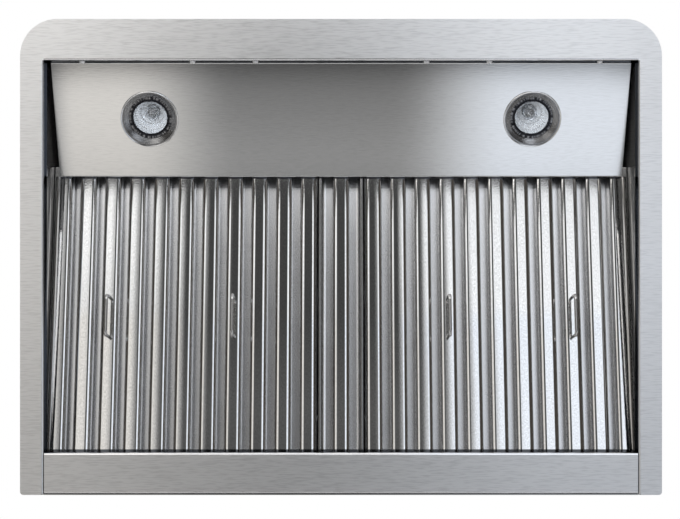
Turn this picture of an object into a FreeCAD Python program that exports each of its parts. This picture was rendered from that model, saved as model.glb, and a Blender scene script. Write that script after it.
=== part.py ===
import FreeCAD, Part
import math
import os

# An under-cabinet range hood of brushed sheet steel. X runs to the right, Y to the wall, Z up.
# The origin is the centre of the four cabinet screw holes, on the top face. Millimetres and degrees.

# Body of the hood
hood_width = 762.0
hood_depth = 565.0
hood_height = 279.0
top_depth = 305.0
lip_height = 64.0
corner_radius = 44.0
rear_corner_radius = 4.0
sheet = 1.2
bend_radius = 1.5

# Rim round the mouth
rim_front = 49.1
rim_side = 28.0
rim_rear = 50.0
rim_return = 19.0

# Clearances
seat_gap = 0.3
seam_gap = 0.4
running_gap = 0.05

# Rear gutter and side liners
gutter_wall = 34.0
gutter_ledge = 11.0
gutter_back = 40.0
liner_height = 125.0
liner_setback = 3.0

# Light panel
panel_sheet = 1.0
panel_depth = 133.4
panel_front_rise = 31.0
panel_front_drop = 10.0
panel_edge = 5.0
panel_shelf = 14.0
panel_side_gap = 2.2
front_screw_x = (102.0, 177.0, 309.0)
front_screw_rise = 8.0

# Lamps
lamp_from_side = 118.0
lamp_setback = 63.9
trim_radius = 35.5
trim_lip = 1.5
trim_land = 2.5
trim_tube_radius = 27.8
trim_wall = 1.2
trim_tube_height = 13.0
trim_step_height = 5.0
trim_step_width = 3.4
retainer_sheet = 1.5
retainer_height = 6.0
retainer_hole_radius = 20.8
retainer_lugs = 3
lug_width = 7.0
bulb_depth = 30.0
bulb_glass = 1.2
bowl_rings = 5
bulb_neck_radius = 9.8
bulb_base_height = 8.0
capsule_radius = 8.2
capsule_length = 21.5
socket_radius = 13.0
socket_height = 12.0
can_radius = 36.0
can_wall = 1.0

# Baffle filters
filter_slope = 9.8
filter_height = 25.0
filter_side_gap = 1.0
frame_wall = 0.8
frame_lip = 13.0
baffle_count = 11
baffle_width = 20.2
baffle_wall = 0.7
baffle_leg = 11.5
crown_angle = 1.0
shoulder_angle = 26.0
shoulder_radius = 9.0
baffle_edge_radius = 2.6
handle_from_side = (72.0, 225.0)
handle_from_rear = 161.0
handle_length = 53.0
handle_height = 26.0
handle_wire_radius = 2.1
handle_bend = 6.0

# Centre strip
strip_width = 56.4
strip_gap = 1.5
hem_width = 5.2
hem_rise = 5.0
hem_bend = 1.4

# Blower
duct_y = 10.0
blower_drop = 80.0
volute_radii = (67.0, 76.0, 87.0)
tongue_angle = 50.0
scroll_half_width = 68.0
scroll_sheet = 1.0
outlet_flange = 14.0
inlet_radius = 45.0
inlet_throat = 6.0
inlet_bend = 4.0
impeller_radius = 58.0
blade_depth = 10.0
blade_count = 30
blade_sheet = 0.8
blade_bow = 2.6
impeller_end_gap = 2.0
impeller_ring = 2.5
impeller_disc = 2.0
hub_radius = 10.0
hub_half_length = 12.0
shaft_radius = 4.0
motor_radius = 37.0
motor_overhang = 70.0
motor_inner_gap = 6.0
motor_boss_radius = 14.0
motor_boss_length = 8.0
shaft_in_motor = 45.0
bracket_sheet = 1.5
bracket_band = 18.0
bracket_reach = 22.0
bracket_arm_radius = 55.0
bracket_foot_radius = 66.0
bracket_arm_width = 14.0
bracket_arms = 3

# Capacitor
capacitor_x = 190.0
capacitor_y = -60.0
capacitor_radius = 20.0
capacitor_length = 62.0
capacitor_tab = 8.0
clip_sheet = 1.0
clip_width = 24.0
clip_foot = 14.0

# Duct collar and damper
collar_radius = 88.9
collar_wall = 1.2
collar_height = 60.0
collar_flange = 17.0
collar_screws = 6
damper_height = 14.0
damper_pin_radius = 2.0
knuckle_radius = 4.0
knuckle_length = 26.0
knuckle_gap = 2.0
flap_sheet = 0.8
flap_edge_gap = 2.2
flap_hinge_gap = 0.8
stop_tab_width = 10.0
stop_tab_reach = 7.0
stop_tab_angles = (65.0, 115.0, 245.0, 295.0)

# Cabinet screw holes and wiring
cabinet_spacing_x = 640.0
cabinet_spacing_y = 230.0
cabinet_hole_radius = 3.0
wiring_from_side = 131.0
wiring_from_back = 60.5
wiring_box_x = 110.0
wiring_box_y = 80.0
wiring_box_drop = 52.0
wiring_sheet = 1.0
bushing_radius = 11.0
bushing_bore_radius = 8.0
bushing_length = 12.0
bushing_flange = 3.0

# Controls in the front lip
button_names = ("lamp", "low", "medium", "high", "stop")
button_pitch = 27.0
button_radius = 7.5
button_clearance = 0.3
button_proud = 0.5
button_travel = 2.5
button_flange = 1.5
button_stem_radius = 2.5
button_stem = 5.0
bezel_margin = 5.5
bezel_flange = 3.0
bezel_flange_sheet = 2.0
housing_wall = 1.5
housing_depth = 27.0
board_sheet = 1.6
switch_size = 6.0
switch_height = 4.0
board_post_radius = 3.0

# Screws: head radius, head height and shank radius
screw_head_radius = 3.3
screw_head_height = 3.0
screw_shank_radius = 1.7
screw_length = 6.0

# Places worked out from the sizes above
back_y = top_depth / 2.0
front_y = back_y - hood_depth
rim_z = -hood_height
lip_top_z = rim_z + lip_height
half_width = hood_width / 2.0
mouth_x = half_width - rim_side
wiring_x = half_width - wiring_from_side
wiring_y = back_y - wiring_from_back
mouth_front_y = front_y + rim_front
mouth_rear_y = back_y - rim_rear
panel_rear_y = mouth_front_y + panel_depth
slope_sine = math.sin(math.radians(filter_slope))
slope_cosine = math.cos(math.radians(filter_slope))
slope_tangent = slope_sine / slope_cosine

X_AXIS = FreeCAD.Vector(1, 0, 0)
Y_AXIS = FreeCAD.Vector(0, 1, 0)
Z_AXIS = FreeCAD.Vector(0, 0, 1)
ORIGIN = FreeCAD.Vector(0, 0, 0)


def vec(x, y, z):
    return FreeCAD.Vector(x, y, z)


def block(x0, x1, y0, y1, z0, z1):
    return Part.makeBox(x1 - x0, y1 - y0, z1 - z0, vec(x0, y0, z0))


def fuse_all(shapes):
    return shapes[0].multiFuse(shapes[1:]).removeSplitter()


def mirrored(shape):
    return shape.mirror(ORIGIN, X_AXIS)


def closed_face(edges):
    return Part.Face(Part.Wire(Part.__sortEdges__(edges)))


def polygon_face(points):
    return Part.Face(Part.makePolygon(points + points[:1]))


# Section of a bent sheet. The path runs along one skin and the sheet lies to its left.
# The mapping puts a point of the section in space.
def sheet_face(path, wall, bend, place):
    points = [vec(u, v, 0) for u, v in path]
    runs = [(b - a).normalize() for a, b in zip(points, points[1:])]
    sides = [vec(-run.y, run.x, 0) for run in runs]
    skins = ([points[0]], [points[0] + sides[0] * wall])
    edges = []

    def line(skin, end):
        edges.append(Part.makeLine(place(skin[-1]), place(end)))
        skin.append(end)

    def arc(skin, middle, end):
        edges.append(Part.Arc(place(skin[-1]), place(middle), place(end)).toShape())
        skin.append(end)

    for corner, before, after, side, next_side in zip(points[1:-1], runs, runs[1:], sides, sides[1:]):
        turn = math.atan2(before.x * after.y - before.y * after.x, before.dot(after))
        hand = 1.0 if turn > 0 else -1.0
        near_radius = bend + wall if turn > 0 else bend
        far_radius = near_radius - hand * wall
        setback = near_radius * math.tan(abs(turn) / 2.0)
        start = corner - before * setback
        end = corner + after * setback
        centre = start + side * (hand * near_radius)
        outward = (corner - centre).normalize()
        line(skins[0], start)
        line(skins[1], start + side * wall)
        arc(skins[0], centre + outward * near_radius, end)
        arc(skins[1], centre + outward * far_radius, end + next_side * wall)
    line(skins[0], points[-1])
    line(skins[1], points[-1] + sides[-1] * wall)
    edges.append(Part.makeLine(place(points[0]), place(points[0] + sides[0] * wall)))
    edges.append(Part.makeLine(place(skins[0][-1]), place(skins[1][-1])))
    return closed_face(edges)


# A bent sheet that runs along X, with its section given as Y and Z.
def sheet_along_x(path, wall, bend, x0, x1):
    face = sheet_face(path, wall, bend, lambda p: vec(x0, p.x, p.y))
    return face.extrude(vec(x1 - x0, 0, 0))


# A bent sheet that runs along Y, with its section given as X and Z.
def sheet_along_y(path, wall, bend, y0, y1):
    face = sheet_face(path, wall, bend, lambda p: vec(p.x, y0, p.y))
    return face.extrude(vec(0, y1 - y0, 0))


# A solid turned about local Z from points of radius and height.
def turned(points):
    face = polygon_face([vec(radius, 0, height) for radius, height in points])
    return face.revolve(ORIGIN, Z_AXIS, 360)


# A pan-head screw: the head stands out along the direction, the shank runs in the other way.
def screw(place, direction, shank_length):
    shank = Part.makeCylinder(screw_shank_radius, shank_length, place, direction * -1)
    head = Part.makeCone(screw_head_radius, screw_head_radius * 0.7, screw_head_height, place, direction)
    return shank.fuse(head).removeSplitter()


def without(shape, tools):
    return shape.cut(Part.makeCompound(tools))


# Hood outline in plan at one height: large round corners in front and small ones at the wall.
def hood_outline(z, front, inset, front_inset):
    x = half_width - inset
    y0 = front + front_inset
    y1 = back_y - inset
    front_r = corner_radius - inset
    rear_r = rear_corner_radius - inset
    cut = 1.0 - math.sqrt(0.5)
    edges = [
        Part.makeLine(vec(-x + front_r, y0, z), vec(x - front_r, y0, z)),
        Part.Arc(vec(x - front_r, y0, z), vec(x - front_r * cut, y0 + front_r * cut, z),
                 vec(x, y0 + front_r, z)).toShape(),
        Part.makeLine(vec(x, y0 + front_r, z), vec(x, y1 - rear_r, z)),
        Part.Arc(vec(x, y1 - rear_r, z), vec(x - rear_r * cut, y1 - rear_r * cut, z),
                 vec(x - rear_r, y1, z)).toShape(),
        Part.makeLine(vec(x - rear_r, y1, z), vec(-x + rear_r, y1, z)),
        Part.Arc(vec(-x + rear_r, y1, z), vec(-x + rear_r * cut, y1 - rear_r * cut, z),
                 vec(-x, y1 - rear_r, z)).toShape(),
        Part.makeLine(vec(-x, y1 - rear_r, z), vec(-x, y0 + front_r, z)),
        Part.Arc(vec(-x, y0 + front_r, z), vec(-x + front_r * cut, y0 + front_r * cut, z),
                 vec(-x + front_r, y0, z)).toShape(),
    ]
    return Part.Wire(edges)


# Round-ended plate in the XZ plane, for the controls.
def stadium(half_length, radius, y0, y1, z):
    top = z + radius
    low = z - radius
    edges = [
        Part.makeLine(vec(-half_length, y0, top), vec(half_length, y0, top)),
        Part.Arc(vec(half_length, y0, top), vec(half_length + radius, y0, z),
                 vec(half_length, y0, low)).toShape(),
        Part.makeLine(vec(half_length, y0, low), vec(-half_length, y0, low)),
        Part.Arc(vec(-half_length, y0, low), vec(-half_length - radius, y0, z),
                 vec(-half_length, y0, top)).toShape(),
    ]
    return Part.Face(Part.Wire(edges)).extrude(vec(0, y1 - y0, 0))


def filter_plane_z(y):
    return rim_z + gutter_wall + seat_gap + (mouth_rear_y - y) * slope_tangent


parts = {}

# Front lip band, a low ring of sheet with rounded front corners, open at the back between its flanges.
band_low_z = rim_z + sheet
band = Part.Face(hood_outline(band_low_z, front_y, 0, 0)).extrude(vec(0, 0, lip_top_z - band_low_z))
band_room = Part.Face(hood_outline(band_low_z, front_y, sheet, sheet))
back_opening = block(-mouth_x, mouth_x, back_y - rim_rear, back_y + rim_rear, rim_z, 0)
band = band.cut(band_room.extrude(vec(0, 0, lip_top_z - band_low_z))).cut(back_opening)
control_z = rim_z + lip_height / 2.0
bezel_half = button_pitch * (len(button_names) - 1) / 2.0
bezel_radius = button_radius + bezel_margin
bezel_hole = stadium(bezel_half, bezel_radius + seat_gap, front_y - sheet, front_y + 2 * sheet, control_z)
parts["front_lip_band"] = band.cut(bezel_hole)

# Canopy body, the sides and the front that slopes back from the lip to the top.
canopy_top_z = -sheet
top_front_y = back_y - top_depth
slope_run = top_front_y - front_y
slope_rise = canopy_top_z - lip_top_z
front_wall = sheet * math.hypot(slope_run, slope_rise) / slope_rise
canopy = Part.makeLoft([hood_outline(lip_top_z, front_y, 0, 0),
                        hood_outline(canopy_top_z, top_front_y, 0, 0)], True, True)
canopy_room = Part.makeLoft([hood_outline(lip_top_z, front_y, sheet, front_wall),
                             hood_outline(canopy_top_z, top_front_y, sheet, front_wall)], True, True)
parts["canopy_body"] = canopy.cut(canopy_room).cut(back_opening)
hood_room = band_room.extrude(vec(0, 0, lip_top_z - band_low_z)).fuse(canopy_room)

# Rim frame, a U-shaped sheet under the lip with its inner edges turned up.
bend_room = 2 * (bend_radius + sheet)
rim_plate = Part.Face(hood_outline(rim_z, front_y, 0, 0)).extrude(vec(0, 0, sheet))
rim_plate = rim_plate.cut(block(-mouth_x, mouth_x, mouth_front_y - bend_room / 2, back_y + sheet,
                                rim_z - sheet, rim_z + 2 * sheet))
rim_plate = rim_plate.cut(block(-mouth_x - bend_room / 2, mouth_x + bend_room / 2, mouth_front_y,
                                back_y + sheet, rim_z - sheet, rim_z + 2 * sheet))
front_turn = [(mouth_front_y - bend_room, rim_z), (mouth_front_y, rim_z), (mouth_front_y, rim_z + rim_return)]
side_turn = [(-mouth_x - bend_room, rim_z), (-mouth_x, rim_z), (-mouth_x, rim_z + rim_return)]
side_return = sheet_along_y(side_turn, sheet, bend_radius, mouth_front_y - sheet, back_y - sheet)
rim = fuse_all([rim_plate, sheet_along_x(front_turn, sheet, bend_radius, -mouth_x, mouth_x),
                side_return, mirrored(side_return)])

# Rear gutter, a folded trough between the side legs. Its inner wall has a ledge under the filters.
ledge_z = rim_z + gutter_wall
gutter_path = [
    (mouth_rear_y + gutter_ledge, ledge_z - gutter_ledge * slope_tangent),
    (mouth_rear_y, ledge_z),
    (mouth_rear_y, rim_z),
    (back_y - sheet, rim_z),
    (back_y - sheet, rim_z + gutter_back),
]
gutter_x = mouth_x - seam_gap
parts["rear_gutter"] = sheet_along_x(gutter_path, sheet, bend_radius, -gutter_x, gutter_x)

# Back panel, flush with the rear flanges of the canopy.
parts["back_panel"] = block(-gutter_x, gutter_x, back_y - sheet, back_y, rim_z, canopy_top_z)

# Side liners, the inner walls beside the filters. They stand on the rim behind the bend of its side
# return, and a top flange runs out to the canopy. Their front corners follow the slope of the canopy.
liner_x = mouth_x + sheet + bend_radius + liner_setback
liner_path = [(-liner_x, rim_z + sheet), (-liner_x, rim_z + liner_height),
              (-half_width + sheet, rim_z + liner_height)]
liner = sheet_along_y(liner_path, sheet, bend_radius, mouth_front_y, back_y - 2 * sheet).common(hood_room)
parts["side_liner_left"] = liner
parts["side_liner_right"] = mirrored(liner)

# Light panel, from its front flange up to a folded rear edge and a shelf for the filters.
panel_front_y = mouth_front_y - sheet
panel_low_z = rim_z + panel_front_rise
shelf_z = filter_plane_z(panel_rear_y) - seat_gap
panel_high_z = shelf_z - panel_edge
panel_angle = math.degrees(math.atan2(panel_high_z - panel_low_z, panel_rear_y - panel_front_y))
panel_path = [
    (panel_front_y, rim_z + panel_front_drop),
    (panel_front_y, panel_low_z),
    (panel_rear_y, panel_high_z),
    (panel_rear_y, shelf_z),
    (panel_rear_y - panel_shelf * slope_cosine, shelf_z + panel_shelf * slope_sine),
]
panel_x = mouth_x - panel_side_gap
panel = sheet_along_x(panel_path, panel_sheet, bend_radius, -panel_x, panel_x)

# Front screws, pan heads that hold the light panel to the rim's front return.
front_screws = []
for x in front_screw_x:
    for side in (-1, 1):
        place = vec(side * x, mouth_front_y, rim_z + front_screw_rise)
        front_screws.append(screw(place, Y_AXIS, screw_length))
parts["front_screws"] = Part.makeCompound(front_screws)
parts["rim_frame"] = without(rim, front_screws)

# Lamps, built upright about local Z with the panel's face at height zero, then set in the panel.
lamp_x = mouth_x - lamp_from_side
lamp_y = mouth_front_y + lamp_setback
lamp_z = panel_low_z + (lamp_y - panel_front_y) * math.tan(math.radians(panel_angle))
lamp_turn = FreeCAD.Rotation(X_AXIS, panel_angle)
lamp_hole_radius = trim_radius - trim_land
trim_bore_radius = trim_tube_radius - trim_wall
step_radius = trim_bore_radius + trim_step_width
lip_inner_radius = trim_radius - trim_lip
trim = turned([
    (trim_radius, 0),
    (trim_radius, -trim_lip / 2),
    (trim_radius - trim_lip / 2, -trim_lip),
    (lip_inner_radius, -trim_lip),
    (step_radius + trim_wall / 2, trim_lip),
    (step_radius, trim_lip),
    (trim_bore_radius + trim_wall / 2, trim_step_height),
    (trim_bore_radius, trim_step_height),
    (trim_bore_radius, trim_tube_height),
    (trim_tube_radius, trim_tube_height),
    (trim_tube_radius, trim_step_height + trim_wall),
    (step_radius + trim_wall, trim_lip + trim_wall),
    (lamp_hole_radius - seat_gap, trim_wall),
    (lamp_hole_radius - seat_gap, 0),
])
retainer_radius = trim_bore_radius - seat_gap
retainer_top = retainer_height + retainer_sheet
retainer = Part.makeCylinder(retainer_radius, retainer_sheet, vec(0, 0, retainer_height))
retainer = retainer.cut(Part.makeCylinder(retainer_hole_radius, retainer_top))
lugs = []
for number in range(retainer_lugs):
    lug = block(retainer_hole_radius, retainer_radius - seat_gap, -lug_width / 2, lug_width / 2,
                retainer_height - retainer_sheet, retainer_height)
    lug.rotate(ORIGIN, Z_AXIS, 360.0 * number / retainer_lugs - 90.0)
    lugs.append(lug)
retainer = fuse_all([retainer] + lugs)
bulb_radius = retainer_radius - seat_gap
bulb_top = retainer_top + bulb_depth
capsule_top = bulb_top + bulb_base_height
capsule_bore = capsule_radius + seat_gap


# One skin of the bowl, a parabola in stepped rings from the mouth up to the neck.
def bowl_skin(inside):
    points = []
    for step in range(bowl_rings + 1):
        share = step / bowl_rings
        radius = bulb_radius + (bulb_neck_radius - bulb_radius) * share
        fall = (radius ** 2 - bulb_neck_radius ** 2) / (bulb_radius ** 2 - bulb_neck_radius ** 2)
        height = bulb_top - bulb_depth * fall
        points.append((radius - inside, max(height - inside, retainer_top)))
    return points


reflector = turned(bowl_skin(0) + [(bulb_neck_radius, capsule_top), (capsule_bore, capsule_top),
                                   (capsule_bore, bulb_top - bulb_glass)] + bowl_skin(bulb_glass)[::-1])
capsule_low = bulb_top - capsule_length
capsule = Part.makeCylinder(capsule_radius, capsule_top - capsule_low - capsule_radius,
                            vec(0, 0, capsule_low + capsule_radius))
capsule_end = Part.makeSphere(capsule_radius, vec(0, 0, capsule_low + capsule_radius))
capsule = capsule.fuse(capsule_end).removeSplitter()
socket_top = capsule_top + socket_height
socket = turned([(0, capsule_top), (socket_radius, capsule_top), (socket_radius, socket_top - can_wall),
                 (socket_radius - can_wall, socket_top), (0, socket_top)])
can = Part.makeCylinder(can_radius, socket_top + can_wall - panel_sheet, vec(0, 0, panel_sheet))
can = can.cut(Part.makeCylinder(can_radius - can_wall, socket_top - panel_sheet, vec(0, 0, panel_sheet)))
for side, name in ((-1, "left"), (1, "right")):
    seat = FreeCAD.Placement(vec(side * lamp_x, lamp_y, lamp_z), lamp_turn).toMatrix()
    parts["lamp_trim_" + name] = trim.transformed(seat)
    parts["lamp_retainer_" + name] = retainer.transformed(seat)
    parts["bulb_reflector_" + name] = reflector.transformed(seat)
    parts["bulb_capsule_" + name] = capsule.transformed(seat)
    parts["lamp_socket_" + name] = socket.transformed(seat)
    parts["lamp_can_" + name] = can.transformed(seat)
    hole = Part.makeCylinder(lamp_hole_radius, 4 * panel_sheet, vec(0, 0, -panel_sheet))
    panel = panel.cut(hole.transformed(seat))
parts["light_panel"] = without(panel, front_screws)

# Filters lie flat in their own frame: Y from the gutter wall at zero, Z up from the underside.
filter_seat = FreeCAD.Placement(vec(0, mouth_rear_y, filter_plane_z(mouth_rear_y)),
                                FreeCAD.Rotation(X_AXIS, -filter_slope)).toMatrix()
front_lip_y = -(mouth_rear_y - panel_rear_y) / slope_cosine - frame_wall
filter_front = front_lip_y - frame_lip
rear_lip_y = 2 * frame_wall
filter_rear = rear_lip_y + frame_lip
strip_half = strip_width / 2.0
filter_outer = liner_x - filter_side_gap
filter_inner = strip_half + strip_gap
baffle_pitch = (filter_outer - filter_inner - 2 * frame_wall - baffle_width) / (baffle_count - 1)


# End channels of a frame, folded over both ends of the baffles.
def end_channels(x0, x1):
    front = [(front_lip_y, filter_height), (filter_front, filter_height), (filter_front, 0), (front_lip_y, 0)]
    rear = [(rear_lip_y, 0), (filter_rear, 0), (filter_rear, filter_height), (rear_lip_y, filter_height)]
    return [sheet_along_x(path, frame_wall, frame_wall, x0, x1) for path in (front, rear)]


# One skin of a roll-formed baffle, the given distance inside its outer skin: a slightly crowned web, then
# a shoulder, a round edge and a leg on each side.
def baffle_skin(inside):
    crown = math.radians(crown_angle)
    shoulder = math.radians(shoulder_angle)
    web_half = (baffle_width / 2.0 - shoulder_radius * (math.sin(shoulder) - math.sin(crown))
                - baffle_edge_radius * (1.0 - math.sin(shoulder)))
    crown_radius = web_half / math.sin(crown)
    bends = ((shoulder_radius, crown, shoulder), (baffle_edge_radius, shoulder, math.pi / 2))
    edges = []
    web_ends = []
    tops = []
    for side in (-1, 1):
        centre = vec(0, 0, crown_radius)
        radius = crown_radius
        skin = []
        for next_radius, start, end in bends:
            centre = centre + vec(side * math.sin(start), 0, -math.cos(start)) * (radius - next_radius)
            radius = next_radius
            arc = [centre + vec(side * math.sin(angle), 0, -math.cos(angle)) * (radius - inside)
                   for angle in (start, (start + end) / 2, end)]
            edges.append(Part.Arc(*arc).toShape())
            skin.extend(arc)
        top = vec(skin[-1].x, 0, baffle_leg)
        edges.append(Part.makeLine(skin[-1], top))
        web_ends.append(skin[0])
        tops.append(top)
    edges.append(Part.Arc(web_ends[0], vec(0, 0, inside), web_ends[1]).toShape())
    return edges, tops


# A baffle with its web down, set between the end channels of the frame.
outer_edges, outer_tops = baffle_skin(0)
inner_edges, inner_tops = baffle_skin(baffle_wall)
leg_ends = [Part.makeLine(a, b) for a, b in zip(outer_tops, inner_tops)]
baffle_length = filter_rear - filter_front - 6 * frame_wall
lower_baffle = closed_face(outer_edges + inner_edges + leg_ends).extrude(vec(0, baffle_length, 0))
lower_baffle.translate(vec(0, filter_front + 3 * frame_wall, frame_wall))
upper_baffle = lower_baffle.mirror(vec(0, 0, filter_height / 2.0), Z_AXIS)


def row_of(shape, places):
    copies = []
    for x in places:
        copy = shape.copy()
        copy.translate(vec(x, 0, 0))
        copies.append(copy)
    return Part.makeCompound(copies)


# Bail handle of bent wire, hanging from the web of one lower baffle.
def handle(x):
    y0 = -handle_from_rear - handle_length / 2.0 + handle_wire_radius
    y1 = y0 + handle_length - 2 * handle_wire_radius
    low = -handle_height + handle_wire_radius
    cut = handle_bend * (1.0 - math.sqrt(0.5))
    edges = [
        Part.makeLine(vec(x, y0, frame_wall), vec(x, y0, low + handle_bend)),
        Part.Arc(vec(x, y0, low + handle_bend), vec(x, y0 + cut, low + cut),
                 vec(x, y0 + handle_bend, low)).toShape(),
        Part.makeLine(vec(x, y0 + handle_bend, low), vec(x, y1 - handle_bend, low)),
        Part.Arc(vec(x, y1 - handle_bend, low), vec(x, y1 - cut, low + cut),
                 vec(x, y1, low + handle_bend)).toShape(),
        Part.makeLine(vec(x, y1, low + handle_bend), vec(x, y1, frame_wall)),
    ]
    ring = Part.Wire(Part.makeCircle(handle_wire_radius, vec(x, y0, frame_wall), Z_AXIS))
    return Part.Wire(edges).makePipeShell([ring], True, False)


first_baffle_x = filter_outer - frame_wall - baffle_width / 2.0
lower_x = [first_baffle_x - baffle_pitch * number for number in range(baffle_count)]
upper_x = [(a + b) / 2.0 for a, b in zip(lower_x, lower_x[1:])]
handle_x = [min(lower_x, key=lambda x: abs(filter_outer - inset - x)) for inset in handle_from_side]
side_front = filter_front + 2 * frame_wall
side_rear = filter_rear - 2 * frame_wall
filter_sides = [block(x, x + frame_wall, side_front, side_rear, 0, filter_height)
                for x in (filter_inner, filter_outer - frame_wall)]
filter_pieces = {
    "frame": fuse_all(end_channels(filter_inner, filter_outer) + filter_sides),
    "lower_baffles": row_of(lower_baffle, lower_x),
    "upper_baffles": row_of(upper_baffle, upper_x),
    "handles": Part.makeCompound([handle(x) for x in handle_x]),
}
for name, shape in filter_pieces.items():
    seated = shape.transformed(filter_seat)
    parts["filter_right_" + name] = seated
    parts["filter_left_" + name] = mirrored(seated)

# Centre strip, a fixed divider between the filters: one lower baffle between two rails with hemmed edges.
hem_x = strip_half - hem_width
rail_path = [(hem_x, hem_rise), (hem_x, 0), (strip_half, 0), (strip_half, filter_height)]
strip_rail = sheet_along_y(rail_path, frame_wall, hem_bend, side_front, side_rear)
strip_frame = fuse_all(end_channels(-strip_half, strip_half) + [strip_rail, mirrored(strip_rail)])
strip_upper_x = (strip_half - frame_wall - baffle_wall) / 2.0
strip_baffles = Part.makeCompound([row_of(lower_baffle, [0]),
                                   row_of(upper_baffle, [-strip_upper_x - baffle_wall,
                                                         strip_upper_x + baffle_wall])])
strip_drop = vec(0, 0, -seat_gap)
for name, shape in (("frame", strip_frame), ("baffles", strip_baffles)):
    seated = shape.transformed(filter_seat)
    seated.translate(strip_drop)
    parts["centre_strip_" + name] = seated

# Blower scroll, a volute of three arcs about the fan axis with a straight outlet up to the duct.
first_r, second_r, third_r = volute_radii
tongue = math.radians(tongue_angle)
outlet_inner = first_r * math.cos(tongue) + scroll_sheet
outlet_outer = second_r - first_r + third_r
blower_y = duct_y - (outlet_inner + outlet_outer) / 2.0
blower_z = -blower_drop
flange_top = -sheet
flange_low = flange_top - scroll_sheet
volute = (
    (0.0, 0.0, first_r, tongue_angle, 180.0),
    (second_r - first_r, 0.0, second_r, 180.0, 270.0),
    (second_r - first_r, third_r - second_r, third_r, 270.0, 360.0),
)


def volute_arc(arc, grow, x):
    shift_y, shift_z, radius, start, end = arc
    points = []
    for angle in (start, (start + end) / 2.0, end):
        turn = math.radians(angle)
        points.append(vec(x, blower_y + shift_y + (radius + grow) * math.cos(turn),
                          blower_z + shift_z + (radius + grow) * math.sin(turn)))
    return points


wrap_pieces = []
for arc in volute:
    inner = volute_arc(arc, 0, -scroll_half_width)
    outer = volute_arc(arc, scroll_sheet, -scroll_half_width)
    band_face = closed_face([Part.Arc(*inner).toShape(), Part.Arc(*outer).toShape(),
                             Part.makeLine(inner[0], outer[0]), Part.makeLine(inner[2], outer[2])])
    wrap_pieces.append(band_face.extrude(vec(2 * scroll_half_width, 0, 0)))
tongue_y = blower_y + first_r * math.cos(tongue)
outlet_y = blower_y + outlet_outer
wrap_pieces.append(block(-scroll_half_width, scroll_half_width, tongue_y, tongue_y + scroll_sheet,
                         blower_z + first_r * math.sin(tongue), flange_top))
wrap_pieces.append(block(-scroll_half_width, scroll_half_width, outlet_y, outlet_y + scroll_sheet,
                         blower_z + third_r - second_r, flange_top))
flange = block(-scroll_half_width - outlet_flange, scroll_half_width + outlet_flange,
               tongue_y - outlet_flange, outlet_y + scroll_sheet + outlet_flange, flange_low, flange_top)
flange = flange.cut(block(-scroll_half_width, scroll_half_width, tongue_y + scroll_sheet, outlet_y,
                          flange_low - sheet, flange_top + sheet))
scroll = fuse_all(wrap_pieces + [flange])

# Scroll sides, plates with a turned-in round inlet.
side_x = scroll_half_width
side_edges = []
for arc in volute:
    side_edges.append(Part.Arc(*volute_arc(arc, scroll_sheet, side_x)).toShape())
side_start = volute_arc(volute[0], scroll_sheet, side_x)[0]
side_end = volute_arc(volute[2], scroll_sheet, side_x)[2]
side_top = (vec(side_x, side_start.y, flange_low), vec(side_x, side_end.y, flange_low))
side_edges += [Part.makeLine(side_end, side_top[1]), Part.makeLine(side_top[1], side_top[0]),
               Part.makeLine(side_top[0], side_start)]
fan_axis = vec(0, blower_y, blower_z)
scroll_side = closed_face(side_edges).extrude(vec(scroll_sheet, 0, 0))
inlet_rim = inlet_radius + inlet_bend + 3 * scroll_sheet
scroll_side = scroll_side.cut(Part.makeCylinder(inlet_rim, 4 * scroll_sheet,
                                                fan_axis + vec(side_x - scroll_sheet, 0, 0), X_AXIS))
throat_path = [(side_x - inlet_throat, inlet_radius), (side_x + scroll_sheet, inlet_radius),
               (side_x + scroll_sheet, inlet_rim)]
throat = sheet_face(throat_path, scroll_sheet, inlet_bend,
                    lambda p: vec(p.x, blower_y, blower_z + p.y))
scroll_side = fuse_all([scroll_side, throat.revolve(fan_axis, X_AXIS, 360)])

# Impeller, a double-inlet squirrel cage on a centre disc, turned and then bladed about local X.
impeller_half = scroll_half_width - inlet_throat - impeller_end_gap
blade_inner = impeller_radius - blade_depth


def annulus(outer, inner, x0, x1):
    ring = Part.makeCylinder(outer, x1 - x0, vec(x0, 0, 0), X_AXIS)
    return ring.cut(Part.makeCylinder(inner, x1 - x0, vec(x0, 0, 0), X_AXIS))


blade_middle = (impeller_radius + blade_inner) / 2.0
blade_skins = []
for offset in (0.0, blade_sheet):
    blade_skins.append((vec(-impeller_half, offset, blade_inner + blade_sheet),
                        vec(-impeller_half, blade_bow + offset, blade_middle),
                        vec(-impeller_half, offset, impeller_radius - blade_sheet)))
blade_face = closed_face([Part.Arc(*blade_skins[0]).toShape(), Part.Arc(*blade_skins[1]).toShape(),
                          Part.makeLine(blade_skins[0][0], blade_skins[1][0]),
                          Part.makeLine(blade_skins[0][2], blade_skins[1][2])])
blade = blade_face.extrude(vec(2 * impeller_half, 0, 0))
cage = [
    annulus(impeller_radius, blade_inner, -impeller_half, -impeller_half + impeller_ring),
    annulus(impeller_radius, blade_inner, impeller_half - impeller_ring, impeller_half),
    annulus(impeller_radius, shaft_radius, -impeller_disc / 2, impeller_disc / 2),
    annulus(hub_radius, shaft_radius, -hub_half_length, hub_half_length),
]
for number in range(blade_count):
    copy = blade.copy()
    copy.rotate(ORIGIN, X_AXIS, 360.0 * number / blade_count)
    cage.append(copy)
impeller = fuse_all(cage)
impeller.translate(fan_axis)
parts["impeller"] = impeller

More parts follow.
